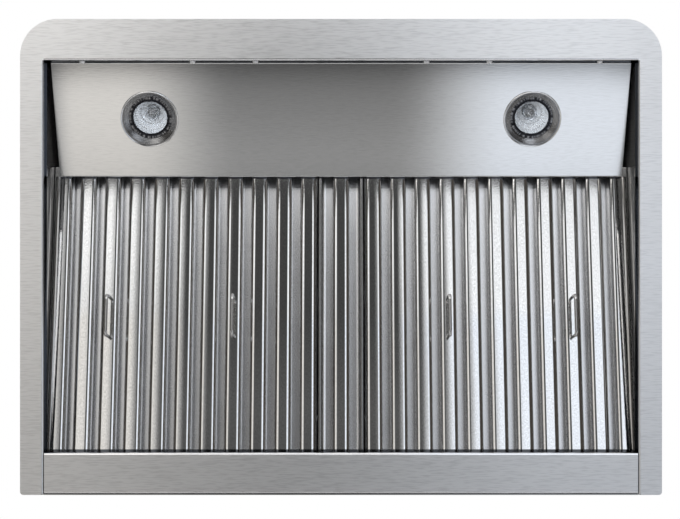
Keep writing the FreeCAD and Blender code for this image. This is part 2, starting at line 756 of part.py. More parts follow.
# Motor in the left inlet, its shaft, and a bracket with three cranked arms to the scroll side.
motor_x0 = -scroll_half_width - scroll_sheet - motor_overhang
motor_x1 = -hub_half_length - motor_inner_gap - motor_boss_length
shaft_x0 = motor_x1 + motor_boss_length - shaft_in_motor
shaft = Part.makeCylinder(shaft_radius, hub_half_length - shaft_x0, vec(shaft_x0, 0, 0), X_AXIS)
motor_turn = [(motor_x0, 0), (motor_x0, motor_radius - sheet), (motor_x0 + sheet, motor_radius),
              (motor_x1 - sheet, motor_radius), (motor_x1, motor_radius - sheet),
              (motor_x1, motor_boss_radius), (motor_x1 + motor_boss_length, motor_boss_radius),
              (motor_x1 + motor_boss_length, 0)]
motor = polygon_face([vec(x, 0, radius) for x, radius in motor_turn]).revolve(ORIGIN, X_AXIS, 360)
motor = motor.cut(Part.makeCylinder(shaft_radius + running_gap, motor_x1 + motor_boss_length - shaft_x0
                                    + running_gap, vec(shaft_x0 - running_gap, 0, 0), X_AXIS))
side_face_x = -scroll_half_width - scroll_sheet
arm_x = side_face_x - bracket_reach
band_radius = motor_radius + bracket_sheet
foot_x = side_face_x - bracket_sheet
arm_path = [(band_radius - bracket_sheet / 2, arm_x), (bracket_arm_radius, arm_x),
            (bracket_arm_radius, foot_x), (bracket_foot_radius, foot_x)]
arm_face = sheet_face(arm_path, bracket_sheet, bracket_sheet,
                      lambda p: vec(p.y, -bracket_arm_width / 2, p.x))
arm = arm_face.extrude(vec(0, bracket_arm_width, 0))
bracket_pieces = [annulus(band_radius, motor_radius, arm_x - bracket_band / 2, arm_x + bracket_band / 2)]
inner_screws = []
foot_radius = (bracket_arm_radius + bracket_foot_radius) / 2.0
for number in range(bracket_arms):
    angle = 360.0 * number / bracket_arms + 60.0
    copy = arm.copy()
    copy.rotate(ORIGIN, X_AXIS, angle)
    bracket_pieces.append(copy)
    foot = vec(foot_x, 0, foot_radius)
    foot_screw = screw(foot, vec(-1, 0, 0), bracket_sheet + scroll_sheet)
    foot_screw.rotate(ORIGIN, X_AXIS, angle)
    foot_screw.translate(fan_axis)
    inner_screws.append(foot_screw)
bracket = fuse_all(bracket_pieces).cut(Part.makeCylinder(motor_radius, 2 * bracket_band,
                                                        vec(arm_x - bracket_band, 0, 0), X_AXIS))
for name, shape in (("motor_body", motor), ("motor_shaft", shaft), ("motor_bracket", bracket)):
    shape.translate(fan_axis)
    parts[name] = shape
for side in (-1, 1):
    for y in (tongue_y - outlet_flange / 2, outlet_y + scroll_sheet + outlet_flange / 2):
        place = vec(side * scroll_half_width, y, flange_low)
        inner_screws.append(screw(place, vec(0, 0, -1), scroll_sheet + sheet))
parts["scroll_wrap"] = without(scroll, inner_screws)
parts["scroll_side_right"] = scroll_side
parts["scroll_side_left"] = without(mirrored(scroll_side), inner_screws)
parts["motor_bracket"] = without(parts["motor_bracket"], inner_screws)

# Run capacitor under the top, held by a strap clip with two feet.
capacitor_z = -sheet - clip_sheet - capacitor_radius
capacitor_x0 = capacitor_x - capacitor_length / 2.0
capacitor_end = vec(capacitor_x0, capacitor_y, capacitor_z)
capacitor = Part.makeCylinder(capacitor_radius, capacitor_length, capacitor_end, X_AXIS)
tabs = [block(capacitor_x0 - capacitor_tab, capacitor_x0, capacitor_y + shift - clip_sheet / 2,
              capacitor_y + shift + clip_sheet / 2, capacitor_z - capacitor_tab / 2,
              capacitor_z + capacitor_tab / 2) for shift in (-capacitor_tab, capacitor_tab)]
parts["capacitor"] = fuse_all([capacitor] + tabs)
clip_base = vec(capacitor_x - clip_width / 2, capacitor_y, capacitor_z)
clip_outer = capacitor_radius + clip_sheet
clip = Part.makeCylinder(clip_outer, clip_width, clip_base, X_AXIS)
clip = clip.fuse(block(clip_base.x, clip_base.x + clip_width, capacitor_y - clip_outer,
                       capacitor_y + clip_outer, capacitor_z, -sheet))
room = Part.makeCylinder(capacitor_radius, clip_width, clip_base, X_AXIS)
room = room.fuse(block(clip_base.x, clip_base.x + clip_width, capacitor_y - capacitor_radius,
                       capacitor_y + capacitor_radius, capacitor_z, -sheet))
feet = [block(clip_base.x, clip_base.x + clip_width, y, y + clip_foot, -sheet - clip_sheet, -sheet)
        for y in (capacitor_y - clip_outer - clip_foot, capacitor_y + clip_outer)]
parts["capacitor_clip"] = fuse_all([clip.cut(room)] + feet)

# Duct collar with a flange on the top panel, stop tabs for the flaps and one pin across it.
duct_base = vec(0, duct_y, 0)
duct_bore = collar_radius - collar_wall
collar = Part.makeCylinder(collar_radius, collar_height, duct_base)
collar = collar.fuse(Part.makeCylinder(collar_radius + collar_flange, collar_wall, duct_base))
collar = collar.cut(Part.makeCylinder(duct_bore, collar_height, duct_base))
tab_top = damper_height - flap_sheet / 2 - seat_gap
stop_tabs = []
for angle in stop_tab_angles:
    tab = block(duct_bore - stop_tab_reach, collar_radius - collar_wall / 2, -stop_tab_width / 2,
                stop_tab_width / 2, tab_top - collar_wall, tab_top)
    tab.rotate(ORIGIN, Z_AXIS, angle)
    tab.translate(duct_base)
    stop_tabs.append(tab)
collar = fuse_all([collar] + stop_tabs)
pin_half = collar_radius - collar_wall / 2
pin = Part.makeCylinder(damper_pin_radius, 2 * pin_half, vec(-pin_half, duct_y, damper_height), X_AXIS)
collar = collar.cut(pin)
parts["damper_pin"] = pin
collar_screw_set = []
for number in range(collar_screws):
    turn = 2 * math.pi * (number + 0.5) / collar_screws
    ring = collar_radius + collar_flange / 2
    place = vec(ring * math.cos(turn), duct_y + ring * math.sin(turn), collar_wall)
    collar_screw_set.append(screw(place, Z_AXIS, collar_wall + sheet))
parts["collar_screws"] = Part.makeCompound(collar_screw_set)
parts["duct_collar"] = without(collar, collar_screw_set)


# One damper flap: a half disc with two knuckles round the pin, the other flap's knuckles between them.
def damper_flap(side, knuckle_starts):
    hinge = knuckle_radius + flap_hinge_gap
    disc = Part.makeCylinder(duct_bore - flap_edge_gap, flap_sheet, vec(0, 0, -flap_sheet / 2))
    reach = 2 * collar_radius
    half = block(-reach, reach, hinge, reach, -reach, reach)
    pieces = [disc.common(half)]
    for start in knuckle_starts:
        pieces.append(Part.makeCylinder(knuckle_radius, knuckle_length, vec(start, 0, 0), X_AXIS))
        pieces.append(block(start, start + knuckle_length, 0, hinge, -flap_sheet / 2, flap_sheet / 2))
    bore = Part.makeCylinder(damper_pin_radius + running_gap, 2 * reach, vec(-reach, 0, 0), X_AXIS)
    flap = fuse_all(pieces).cut(bore)
    if side < 0:
        flap = flap.mirror(ORIGIN, Y_AXIS)
    flap.translate(vec(0, duct_y, damper_height))
    return flap


knuckle_step = knuckle_length + knuckle_gap
parts["damper_flap_rear"] = damper_flap(1, (-2 * knuckle_step, 0))
parts["damper_flap_front"] = damper_flap(-1, (-knuckle_step, knuckle_step))

# Wiring box under the top panel, closed by a screwed cover, with a bushing up through the panel.
box_x0 = wiring_x - wiring_box_x / 2.0
box_x1 = wiring_x + wiring_box_x / 2.0
box_y0 = wiring_y - wiring_box_y / 2.0
box_y1 = wiring_y + wiring_box_y / 2.0
box_low = -sheet - wiring_box_drop
wiring_box = block(box_x0, box_x1, box_y0, box_y1, box_low, -sheet)
wiring_box = wiring_box.cut(block(box_x0 + wiring_sheet, box_x1 - wiring_sheet, box_y0 + wiring_sheet,
                                  box_y1 - wiring_sheet, box_low, -sheet - wiring_sheet))
tab_depth = 2 * screw_head_radius + wiring_sheet
cover_screws = []
for y, inward in ((box_y0 + wiring_sheet, 1), (box_y1 - wiring_sheet, -1)):
    tab_y = sorted((y, y + inward * tab_depth))
    wiring_box = wiring_box.fuse(block(wiring_x - tab_depth, wiring_x + tab_depth, tab_y[0], tab_y[1],
                                       box_low, box_low + wiring_sheet))
    place = vec(wiring_x, y + inward * tab_depth / 2, box_low - wiring_sheet)
    cover_screws.append(screw(place, vec(0, 0, -1), 2 * wiring_sheet))
bushing_place = vec(wiring_x, wiring_y, -bushing_length)
bushing_hole = Part.makeCylinder(bushing_radius, 2 * bushing_length, bushing_place)
bushing = Part.makeCylinder(bushing_radius, bushing_length, bushing_place)
bushing = bushing.fuse(Part.makeCylinder(bushing_radius + bushing_flange,
                                         bushing_length - sheet - wiring_sheet, bushing_place))
bushing = bushing.cut(Part.makeCylinder(bushing_bore_radius, bushing_length, bushing_place))
parts["wiring_bushing"] = bushing.removeSplitter()
parts["wiring_box"] = without(wiring_box.removeSplitter(), cover_screws + [bushing_hole])
cover = block(box_x0, box_x1, box_y0, box_y1, box_low - wiring_sheet, box_low)
parts["wiring_cover"] = without(cover, cover_screws)
inner_screws += cover_screws

# Top panel, with the duct opening, the wiring hole and four cabinet screw holes.
top = Part.Face(hood_outline(canopy_top_z, top_front_y, 0, 0)).extrude(vec(0, 0, sheet))
cabinet_holes = []
for x in (-cabinet_spacing_x / 2, cabinet_spacing_x / 2):
    for y in (-cabinet_spacing_y / 2, cabinet_spacing_y / 2):
        cabinet_holes.append(Part.makeCylinder(cabinet_hole_radius, 3 * sheet, vec(x, y, -2 * sheet)))
duct_hole = Part.makeCylinder(duct_bore, 3 * sheet, duct_base - vec(0, 0, 2 * sheet))
parts["top_panel"] = without(top, cabinet_holes + [duct_hole, bushing_hole] + collar_screw_set + inner_screws)

# Control bezel, flush in the lip, with a flange behind it.
bezel_back = front_y + sheet + bezel_flange_sheet
bezel = stadium(bezel_half, bezel_radius, front_y, bezel_back, control_z)
bezel = bezel.fuse(stadium(bezel_half, bezel_radius + bezel_flange, front_y + sheet, bezel_back, control_z))
bezel = bezel.removeSplitter()

# Push buttons: a domed head through the bezel, a flange that stops it behind, and a stem to its switch.
button_back = bezel_back + seat_gap + button_flange
stem_end = button_back + button_stem
switch_y = stem_end + button_travel + seat_gap
board_y = switch_y + switch_height
board_half = bezel_half + bezel_radius
switches = []
button_edge = button_proud
for number, name in enumerate(button_names):
    x = (number - (len(button_names) - 1) / 2.0) * button_pitch
    profile = [
        (0, front_y - button_proud),
        (button_radius - button_edge, front_y - button_proud),
        (button_radius, front_y - button_proud + button_edge),
        (button_radius, bezel_back + seat_gap),
        (button_radius + button_flange, bezel_back + seat_gap),
        (button_radius + button_flange, button_back),
        (button_stem_radius, button_back),
        (button_stem_radius, stem_end),
        (0, stem_end),
    ]
    centre = vec(x, 0, control_z)
    face = polygon_face([centre + vec(radius, y, 0) for radius, y in profile])
    parts["button_" + name] = face.revolve(centre, Y_AXIS, 360)
    bezel = bezel.cut(Part.makeCylinder(button_radius + button_clearance, housing_depth,
                                        centre + vec(0, front_y - sheet, 0), Y_AXIS))
    switches.append(block(x - switch_size / 2, x + switch_size / 2, switch_y, board_y + board_sheet,
                          control_z - switch_size / 2, control_z + switch_size / 2))
parts["control_bezel"] = bezel

# Control board with its switches, on posts in a tray that is fixed behind the lip.
board = block(-board_half, board_half, board_y, board_y + board_sheet,
              control_z - bezel_radius, control_z + bezel_radius)
parts["control_board"] = fuse_all([board] + switches)
tray_front = front_y + sheet
tray_back = tray_front + housing_depth
tray_half = board_half + bezel_flange + seat_gap
tray_rise = bezel_radius + bezel_flange + seat_gap
tray = block(-tray_half - housing_wall, tray_half + housing_wall, tray_front, tray_back,
             control_z - tray_rise - housing_wall, control_z + tray_rise + housing_wall)
tray = tray.cut(block(-tray_half, tray_half, tray_front, tray_back - housing_wall,
                      control_z - tray_rise, control_z + tray_rise))
posts = []
for x in (-board_half + 2 * board_post_radius, board_half - 2 * board_post_radius):
    for z in (control_z - bezel_radius / 2, control_z + bezel_radius / 2):
        posts.append(Part.makeCylinder(board_post_radius, tray_back - board_y - board_sheet,
                                       vec(x, board_y + board_sheet, z), Y_AXIS))
parts["control_housing"] = fuse_all([tray] + posts)

parts["inner_screws"] = Part.makeCompound(inner_screws)

os.makedirs("parts", exist_ok=True)
for name, shape in parts.items():
    shape.exportStep("parts/" + name + ".step")
    solids = shape.Solids
    valid = "valid" if shape.isValid() else "INVALID"
    print(name, len(solids), valid, round(sum(solid.Volume for solid in solids) / 1000.0, 2), "cm3")
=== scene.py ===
# A commercial under-cabinet range hood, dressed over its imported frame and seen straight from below.
# Metres, in the frame's own axes: X to the right, Y towards the wall, Z up.
import math
import bmesh
import bpy
from mathutils import Matrix, Vector


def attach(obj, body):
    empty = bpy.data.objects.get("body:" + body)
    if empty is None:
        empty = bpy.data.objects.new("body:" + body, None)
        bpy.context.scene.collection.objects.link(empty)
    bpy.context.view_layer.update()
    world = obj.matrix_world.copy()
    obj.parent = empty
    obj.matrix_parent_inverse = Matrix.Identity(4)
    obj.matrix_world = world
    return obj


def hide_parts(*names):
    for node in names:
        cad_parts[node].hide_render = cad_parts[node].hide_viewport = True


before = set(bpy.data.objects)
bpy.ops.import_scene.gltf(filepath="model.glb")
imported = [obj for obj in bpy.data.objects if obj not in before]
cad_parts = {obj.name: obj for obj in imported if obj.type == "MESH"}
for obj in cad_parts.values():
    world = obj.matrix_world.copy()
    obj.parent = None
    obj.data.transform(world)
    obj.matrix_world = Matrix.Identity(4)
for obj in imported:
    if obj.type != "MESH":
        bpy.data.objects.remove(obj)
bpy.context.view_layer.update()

# Canopy, front lip band, top and back panels: the outer shell, folded from 1.2 mm stainless sheet and
# spot-welded along its flanges. The sheet is belt-brushed along its length before it is folded.
FOLDED_ROUGH = 0.07
LINE_TONES, LINE_ROUGH = (0.25, 0.6), 0.3
HANDLING_GRAIN, HANDLING_ROUGH = (0.09, 0.06, 0.06), 0.1


class Wire:
    """A shader socket that takes part in sums, and from which further nodes are drawn."""

    def __init__(self, socket):
        self.socket = socket

    def node(self, kind, settings, sockets, out=0):
        tree = self.socket.id_data
        made = tree.nodes.new(kind)
        for name, value in settings.items():
            setattr(made, name, value)
        for name, value in sockets.items():
            if isinstance(value, Wire):
                tree.links.new(value.socket, made.inputs[name])
            else:
                made.inputs[name].default_value = value
        return Wire(made.outputs[out])

    def maths(self, operation, first, second):
        return self.node("ShaderNodeMath", {"operation": operation}, {0: first, 1: second})

    def __add__(self, other):
        return self.maths("ADD", self, other)

    def __sub__(self, other):
        return self.maths("SUBTRACT", self, other)

    def __rsub__(self, other):
        return self.maths("SUBTRACT", other, self)

    def __mul__(self, other):
        return self.maths("MULTIPLY", self, other)

    def __truediv__(self, other):
        return self.maths("DIVIDE", self, other)

    def __rtruediv__(self, other):
        return self.maths("DIVIDE", other, self)

    def __gt__(self, other):
        return self.maths("GREATER_THAN", self, other)

    def __lt__(self, other):
        return self.maths("LESS_THAN", self, other)

    __radd__ = __add__
    __rmul__ = __mul__


def vector_maths(operation, first, second, out=0):
    """The vector that two vectors make, or the number, with out as Value."""
    return first.node("ShaderNodeVectorMath", {"operation": operation}, {0: first, 1: second}, out)


def component(vector, axis):
    """How far a vector reaches along one axis."""
    return vector.node("ShaderNodeSeparateXYZ", {}, {0: vector}, axis)


def new_finish(name, **uniform):
    """A material with its uniform values set: the material, its shader and the place on the piece."""
    material = bpy.data.materials.new(name)
    material.use_nodes = True
    tree = material.node_tree
    shader = tree.nodes["Principled BSDF"]
    for socket, value in uniform.items():
        shader.inputs[socket.replace("_", " ")].default_value = value
    return material, shader, Wire(tree.nodes.new("ShaderNodeTexCoord").outputs["Object"])


def feed(shader, **wires):
    """Links what varies over the surface to the shader's sockets."""
    for socket, wire in wires.items():
        shader.id_data.links.new(wire.socket, shader.inputs[socket.replace("_", " ")])


def grain(place, size, detail=2.0):
    """Noise from 0 to 1 whose grains are this long along X, Y and Z."""
    scaled = vector_maths("DIVIDE", place, size)
    return place.node("ShaderNodeTexNoise", {}, {"Vector": scaled, "Scale": 1.0, "Detail": detail})


def step_between(value, low, high):
    """A smooth step, 0 below low and 1 above high."""
    return value.node("ShaderNodeMapRange", {"interpolation_type": "SMOOTHSTEP"},
                      {"Value": value, "From Min": low, "From Max": high})


def shade(mask, dark, light):
    """The colour between two, by a mask from 0 to 1."""
    first = dark if isinstance(dark, Wire) else (*dark, 1.0)
    second = light if isinstance(light, Wire) else (*light, 1.0)
    return mask.node("ShaderNodeMix", {"data_type": "RGBA"}, {0: mask, 6: first, 7: second}, 2)


def relief(height):
    """The normal of a surface that stands out by this height in metres."""
    return height.node("ShaderNodeBump", {}, {"Strength": 1.0, "Distance": 1.0, "Height": height})


def facing(place, axis):
    """How far the surface faces along an axis of the hood, from -1 to 1."""
    return component(place.node("ShaderNodeTexCoord", {}, {}, "Normal"), axis)


def brushed_sheet(name, dark, light, rough, depth, streak, hair,
                  flat=None, folded=None, bow=None, glance=(1.0, 1.0, 1.0)):
    """Stainless sheet with belt-brushed lines along X, or along Y on the hood's sides.

    A line is a streak long and a hair wide. With a pair of values for flat, only faces that look down by a
    measure between them are brushed, and the folded edges are smooth and have the folded tones: that of the
    edges along X, and that of the side edges. A dark folded tone is a painted shade on those edges. Bow is the
    distance from the middle at which the sheet's ends begin to curve, and how strongly. Glance is the tint of
    what the sheet mirrors at a glancing angle.
    """
    material, shader, place = new_finish(name, Metallic=1.0, Specular_Tint=(*glance, 1.0))
    along_x = grain(place, (streak, hair, hair), 1.0)
    along_y = grain(place, (hair, streak, hair), 1.0)
    sideways = facing(place, "X")
    on_side = sideways * sideways > 0.5
    lines = along_x + (along_y - along_x) * on_side
    handling = grain(place, HANDLING_GRAIN)
    roughness = rough + (lines - 0.5) * (LINE_ROUGH * rough) + (handling - 0.5) * (HANDLING_ROUGH * rough)
    height = lines * depth
    colour = shade(step_between(lines, *LINE_TONES), dark, light)
    if flat is not None:
        down = facing(place, "Z")
        brushed = (down < -flat[0]) * (down > -flat[1])
        roughness = FOLDED_ROUGH + (roughness - FOLDED_ROUGH) * brushed
        height = height * brushed
        # A dark folded tone paints shade onto the folded edges.
        colour = shade(brushed, shade(on_side, *folded), colour)
    if bow is not None:
        across = component(place, "X")
        beyond = across.maths("MAXIMUM", across.maths("ABSOLUTE", across, 0.0) - bow[0], 0.0)
        height = height + beyond * beyond * (bow[1] / 2)
    feed(shader,
         Base_Color=colour,
         Roughness=roughness,
         Normal=relief(height))
    return material


def dress(material, *nodes):
    """Gives CAD nodes their finish."""
    for node in nodes:
        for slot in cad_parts[node].material_slots:
            slot.material = material


shell_steel = brushed_sheet("brushed_shell_steel", dark=(0.44, 0.44, 0.435), light=(0.58, 0.58, 0.575),
                            rough=0.30, depth=0.00003, streak=0.045, hair=0.0008)
dress(shell_steel, "canopy_body", "front_lip_band", "top_panel", "back_panel")

# Rim frame and rear gutter: the wide flat border round the mouth and the grease strip along the wall.
# The same brushed sheet, but its turned-up edges keep the mill's smooth rolled face; the side edges are a
# painted shade, darker than the edges along X.
RIM_EDGE, RIM_SIDE_EDGE_SHADE = (0.96, 0.96, 0.97), (0.46, 0.47, 0.49)
rim_steel = brushed_sheet("brushed_rim_steel", dark=(0.86, 0.86, 0.86), light=(1.0, 1.0, 1.0),
                          rough=0.355, depth=0.00006, streak=0.014, hair=0.0011,
                          flat=(0.97, 1.01), folded=(RIM_EDGE, RIM_SIDE_EDGE_SHADE), glance=(0.10, 0.105, 0.115))
dress(rim_steel, "rim_frame", "rear_gutter")

# Light panel: the sloped sheet that carries the lamps, with a finer and shinier brushed face than the rim.
# Its front edge is screwed to the rim's return and its rear edge is folded to hold the filters. The ends of
# the sheet, which nothing holds, bow down by one to two millimetres.
# The panel's folded edges are painted near black, a painted shade.
PANEL_EDGE_SHADE = (0.11, 0.115, 0.135)
panel_steel = brushed_sheet("brushed_panel_steel", dark=(0.88, 0.88, 0.875), light=(0.94, 0.94, 0.935),
                            rough=0.09, depth=0.000004, streak=0.010, hair=0.0009,
                            flat=(0.60, 0.95), folded=(PANEL_EDGE_SHADE, PANEL_EDGE_SHADE), bow=(0.314, 2.3))
dress(panel_steel, "light_panel")

# Side liners: plain cold-rolled sheet that closes the mouth's two sides, smooth and left unbrushed. They
# stand on the rim behind its turned-up edge, and a flange along the top runs out to the canopy.


def grained(name, size, dark, light, rough, swing, depth=0.0, detail=2.0, **uniform):
    """A finish whose tone, roughness and relief follow one grain, which adds the swing to its roughness."""
    material, shader, place = new_finish(name, **uniform)
    texture = grain(place, size, detail)
    feed(shader,
         Base_Color=shade(texture, dark, light),
         Roughness=rough + texture * swing)
    if depth:
        feed(shader, Normal=relief(texture * depth))
    return material


liner_steel = grained("rolled_liner_steel", (0.02, 0.02, 0.0012), (0.50, 0.49, 0.48), (0.62, 0.61, 0.60),
                      rough=0.05, swing=0.06, depth=0.00001, Metallic=0.85)
dress(liner_steel, "side_liner_left", "side_liner_right")

# Baffle filters and centre strip: roll-formed stainless channels, clipped into folded frames. The lower row
# is bright with a faint orange peel and hair-fine lines along each channel; the row above it is duller.
# Each lower channel is slightly crowned, and the one at the far left lies a few degrees askew in its slots.
PEEL_GRAIN, PEEL_DEPTH = (0.0012, 0.0018, 0.0012), 0.000014
ROLL_GRAIN, ROLL_DEPTH = (0.0003, 0.08, 0.0003), 0.000001
SMUDGE_GRAIN = (0.03, 0.05, 0.03)
FILTER_SEAT = (0.0, 0.1025, -0.2447)
FILTER_SLOPE = math.radians(9.8)
UPPER_ROW = 0.0124
OUTER_BAFFLE_X, OUTER_BAFFLE_TILT = -0.336, 0.050
BAFFLE_PITCH, FIRST_BAFFLE_X, STRIP_HALF = 0.03062, 0.0406, 0.0255
BAFFLE_CROWN = 3.4

baffle_material, baffle_shader, baffle_place = new_finish("rolled_baffle_steel", Metallic=1.0)
filter_up = (0, math.sin(FILTER_SLOPE), math.cos(FILTER_SLOPE))
baffle_offset = vector_maths("SUBTRACT", baffle_place, FILTER_SEAT)
baffle_upper = vector_maths("DOT_PRODUCT", baffle_offset, filter_up, "Value") > UPPER_ROW
baffle_smudge = grain(baffle_place, SMUDGE_GRAIN)
baffle_peel = grain(baffle_place, PEEL_GRAIN)
baffle_across = component(baffle_place, "X")
baffle_askew = baffle_across.maths("MAXIMUM", OUTER_BAFFLE_X - baffle_across, 0.0) * OUTER_BAFFLE_TILT
baffle_reach = baffle_across.maths("ABSOLUTE", baffle_across, 0.0)
filter_number = (baffle_reach - FIRST_BAFFLE_X) / BAFFLE_PITCH
filter_off = (filter_number - filter_number.maths("ROUND", filter_number, 0.0)) * BAFFLE_PITCH
baffle_off = baffle_reach + (filter_off - baffle_reach) * (baffle_reach > STRIP_HALF)
baffle_height = (baffle_peel * PEEL_DEPTH + grain(baffle_place, ROLL_GRAIN) * ROLL_DEPTH
                 + baffle_askew - baffle_off * baffle_off * (BAFFLE_CROWN / 2))
lower_tone = shade(step_between(baffle_peel, 0.3, 0.7), (0.80, 0.80, 0.795), (0.97, 0.97, 0.965))
upper_tone = shade(baffle_smudge, (0.83, 0.83, 0.84), (0.93, 0.93, 0.94))
feed(baffle_shader,
     Base_Color=shade(baffle_upper, lower_tone, upper_tone),
     Roughness=0.04 + baffle_smudge * 0.03 + baffle_upper * 0.21,
     Normal=relief(baffle_height * (1.0 - baffle_upper)))
# The frames' steel is painted darker than bare stainless, a painted shade.
shaded_frame_steel = brushed_sheet("folded_frame_steel", dark=(0.32, 0.32, 0.32), light=(0.42, 0.42, 0.415),
                            rough=0.16, depth=0.00002, streak=0.008, hair=0.0011)
for side in ("left", "right"):
    dress(baffle_material, f"filter_{side}_lower_baffles", f"filter_{side}_upper_baffles")
    dress(shaded_frame_steel, f"filter_{side}_frame")
dress(baffle_material, "centre_strip_baffles")
dress(shaded_frame_steel, "centre_strip_frame")

# Filter handles: bails of drawn 4.2 mm stainless wire, bent to shape and tumbled bright. Two hang from each
# filter, each welded by its ends to the web of one lower baffle.
wire_steel = grained("tumbled_wire_steel", (0.0008, 0.0025, 0.0008), (0.52, 0.51, 0.50), (0.72, 0.71, 0.70),
                     rough=0.04, swing=0.06, depth=0.00002, detail=3.0, Metallic=1.0)
dress(wire_steel, "filter_left_handles", "filter_right_handles")

# Lamp trims: spun aluminium rings that clip into the panel from below. A rounded lip lies on the panel and
# a stepped, ridged cone leads up to the bulb. The lip's tone is a painted highlight.
PANEL_SLOPE = math.radians(22.383)
LAMP_X, LAMP_Y, LAMP_Z = 0.235, -0.2995, -0.22119
LAMP_SIDES = {"left": -1, "right": 1}
lamp_seats = {name: Matrix.Translation((side * LAMP_X, LAMP_Y, LAMP_Z)) @ Matrix.Rotation(PANEL_SLOPE, 4, "X")
              for name, side in LAMP_SIDES.items()}
TRIM_RADIUS, TRIM_HOLE, TRIM_TUBE, TRIM_BORE = 0.0355, 0.0327, 0.0278, 0.0266
TRIM_LIP, TRIM_WALL = 0.0016, 0.0012
TRIM_CONE_TOP, TRIM_TUBE_TOP = 0.0045, 0.012
TRIM_RIDGES, TRIM_RIDGE_RISE = 5, 0.0006
TRIM_SEGMENTS = 96
LIP_CURVE = ((0.0, 0.0), (0.0, 0.5), (0.25, 0.85), (0.5, 1.0), (1.0, 0.8))
RIDGE_CURVE = ((0.15, 0.0), (0.75, 0.0), (0.85, 1.0), (1.0, 1.0))
LIP_HIGHLIGHT_TONE = (0.98, 0.98, 0.98)
LATHE_PITCH, LATHE_DEPTH = 0.00018, 0.00004


def ring_of(work, radius, height, segments, seat):
    """One ring of points about a seat's Z axis, or the single point on it."""
    if radius == 0:
        return [work.verts.new(seat @ Vector((0, 0, height)))]
    turns = [2 * math.pi * number / segments for number in range(segments)]
    return [work.verts.new(seat @ Vector((radius * math.cos(turn), radius * math.sin(turn), height)))
            for turn in turns]


def skin(work, rings, segments):
    """Faces between each ring of points and the next."""
    for lower, upper in zip(rings, rings[1:]):
        for here in range(segments):
            there = (here + 1) % segments
            corners = [lower[here % len(lower)], lower[there % len(lower)],
                       upper[there % len(upper)], upper[here % len(upper)]]
            corners = list(dict.fromkeys(corners))
            if len(corners) > 2:
                work.faces.new(corners)


def lathe(work, outline, segments, seat):
    """Turns an outline of radius and height pairs about a seat's Z axis, and gives its rings."""
    rings = [ring_of(work, radius, height, segments, seat) for radius, height in outline]
    skin(work, rings, segments)
    return rings


def make_piece(name, work, material, body, slot, *nodes, sharp=40.0):
    """Turns a bmesh into a piece that rides a body and stands for CAD nodes, smooth but for sharp edges."""
    bmesh.ops.recalc_face_normals(work, faces=work.faces[:])
    mesh = bpy.data.meshes.new(name)
    work.to_mesh(mesh)
    work.free()
    mesh.shade_smooth()
    mesh.set_sharp_from_angle(angle=math.radians(sharp))
    mesh.materials.append(material)
    piece = bpy.data.objects.new(name, mesh)
    bpy.context.scene.collection.objects.link(piece)
    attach(piece, body)
    if nodes:
        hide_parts(*nodes)


def from_axis(place, seat):
    """The distance from a seat's Z axis."""
    offset = vector_maths("SUBTRACT", place, seat.to_translation())
    across = vector_maths("CROSS_PRODUCT", offset, seat.to_3x3().col[2])
    return vector_maths("LENGTH", across, (0, 0, 0), "Value")


def grain_along(value, detail):
    """Noise from 0 to 1 whose grains are 1 long along one value."""
    return value.node("ShaderNodeTexNoise", {"noise_dimensions": "1D"},
                      {"W": value, "Scale": 1.0, "Detail": detail})


def turned_metal(name, seat, dark, light, rough, lip=None):
    """Metal with the lathe's fine rings about a seat's Z axis, with a painted highlight beyond the radius of a
    lip.
    """
    material, shader, place = new_finish(name, Metallic=1.0)
    radius = from_axis(place, seat)
    rings = grain_along(radius / LATHE_PITCH, 2.0)
    handling = grain(place, (0.008, 0.008, 0.008))
    colour = shade(step_between(rings, 0.35, 0.65), dark, light)
    if lip is not None:
        # Beyond the lip's radius the colour is a painted highlight.
        colour = shade(radius > lip, colour, LIP_HIGHLIGHT_TONE)
    feed(shader,
         Base_Color=colour,
         Roughness=rough + rings * 0.10 + (handling - 0.5) * 0.08,
         Normal=relief(rings * LATHE_DEPTH))
    return material


cone_start = TRIM_RADIUS - TRIM_LIP
trim_outline = [(TRIM_RADIUS - TRIM_LIP * inward, -TRIM_LIP * down) for inward, down in LIP_CURVE]
for ridge in range(TRIM_RIDGES):
    for share, rise in RIDGE_CURVE:
        run = (ridge + share) / TRIM_RIDGES
        trim_outline.append((cone_start + (TRIM_BORE - cone_start) * run,
                             TRIM_CONE_TOP * run + TRIM_RIDGE_RISE * rise))
trim_outline += [(TRIM_BORE, TRIM_TUBE_TOP), (TRIM_TUBE, TRIM_TUBE_TOP),
                 (TRIM_TUBE, TRIM_CONE_TOP + TRIM_WALL), (TRIM_HOLE, TRIM_WALL),
                 (TRIM_HOLE, 0.0), (TRIM_RADIUS, 0.0)]
for name, seat in lamp_seats.items():
    work = bmesh.new()
    lathe(work, trim_outline, TRIM_SEGMENTS, seat)
    bmesh.ops.remove_doubles(work, verts=work.verts[:], dist=1e-6)
    trim_metal = turned_metal(f"spun_trim_{name}", seat, (0.18, 0.18, 0.185), (0.72, 0.72, 0.725),
                              rough=0.12, lip=cone_start)
    make_piece(f"lamp_trim_ring_{name}", work, trim_metal, "hood", "lamp_trim", f"lamp_trim_{name}",
               sharp=30.0)

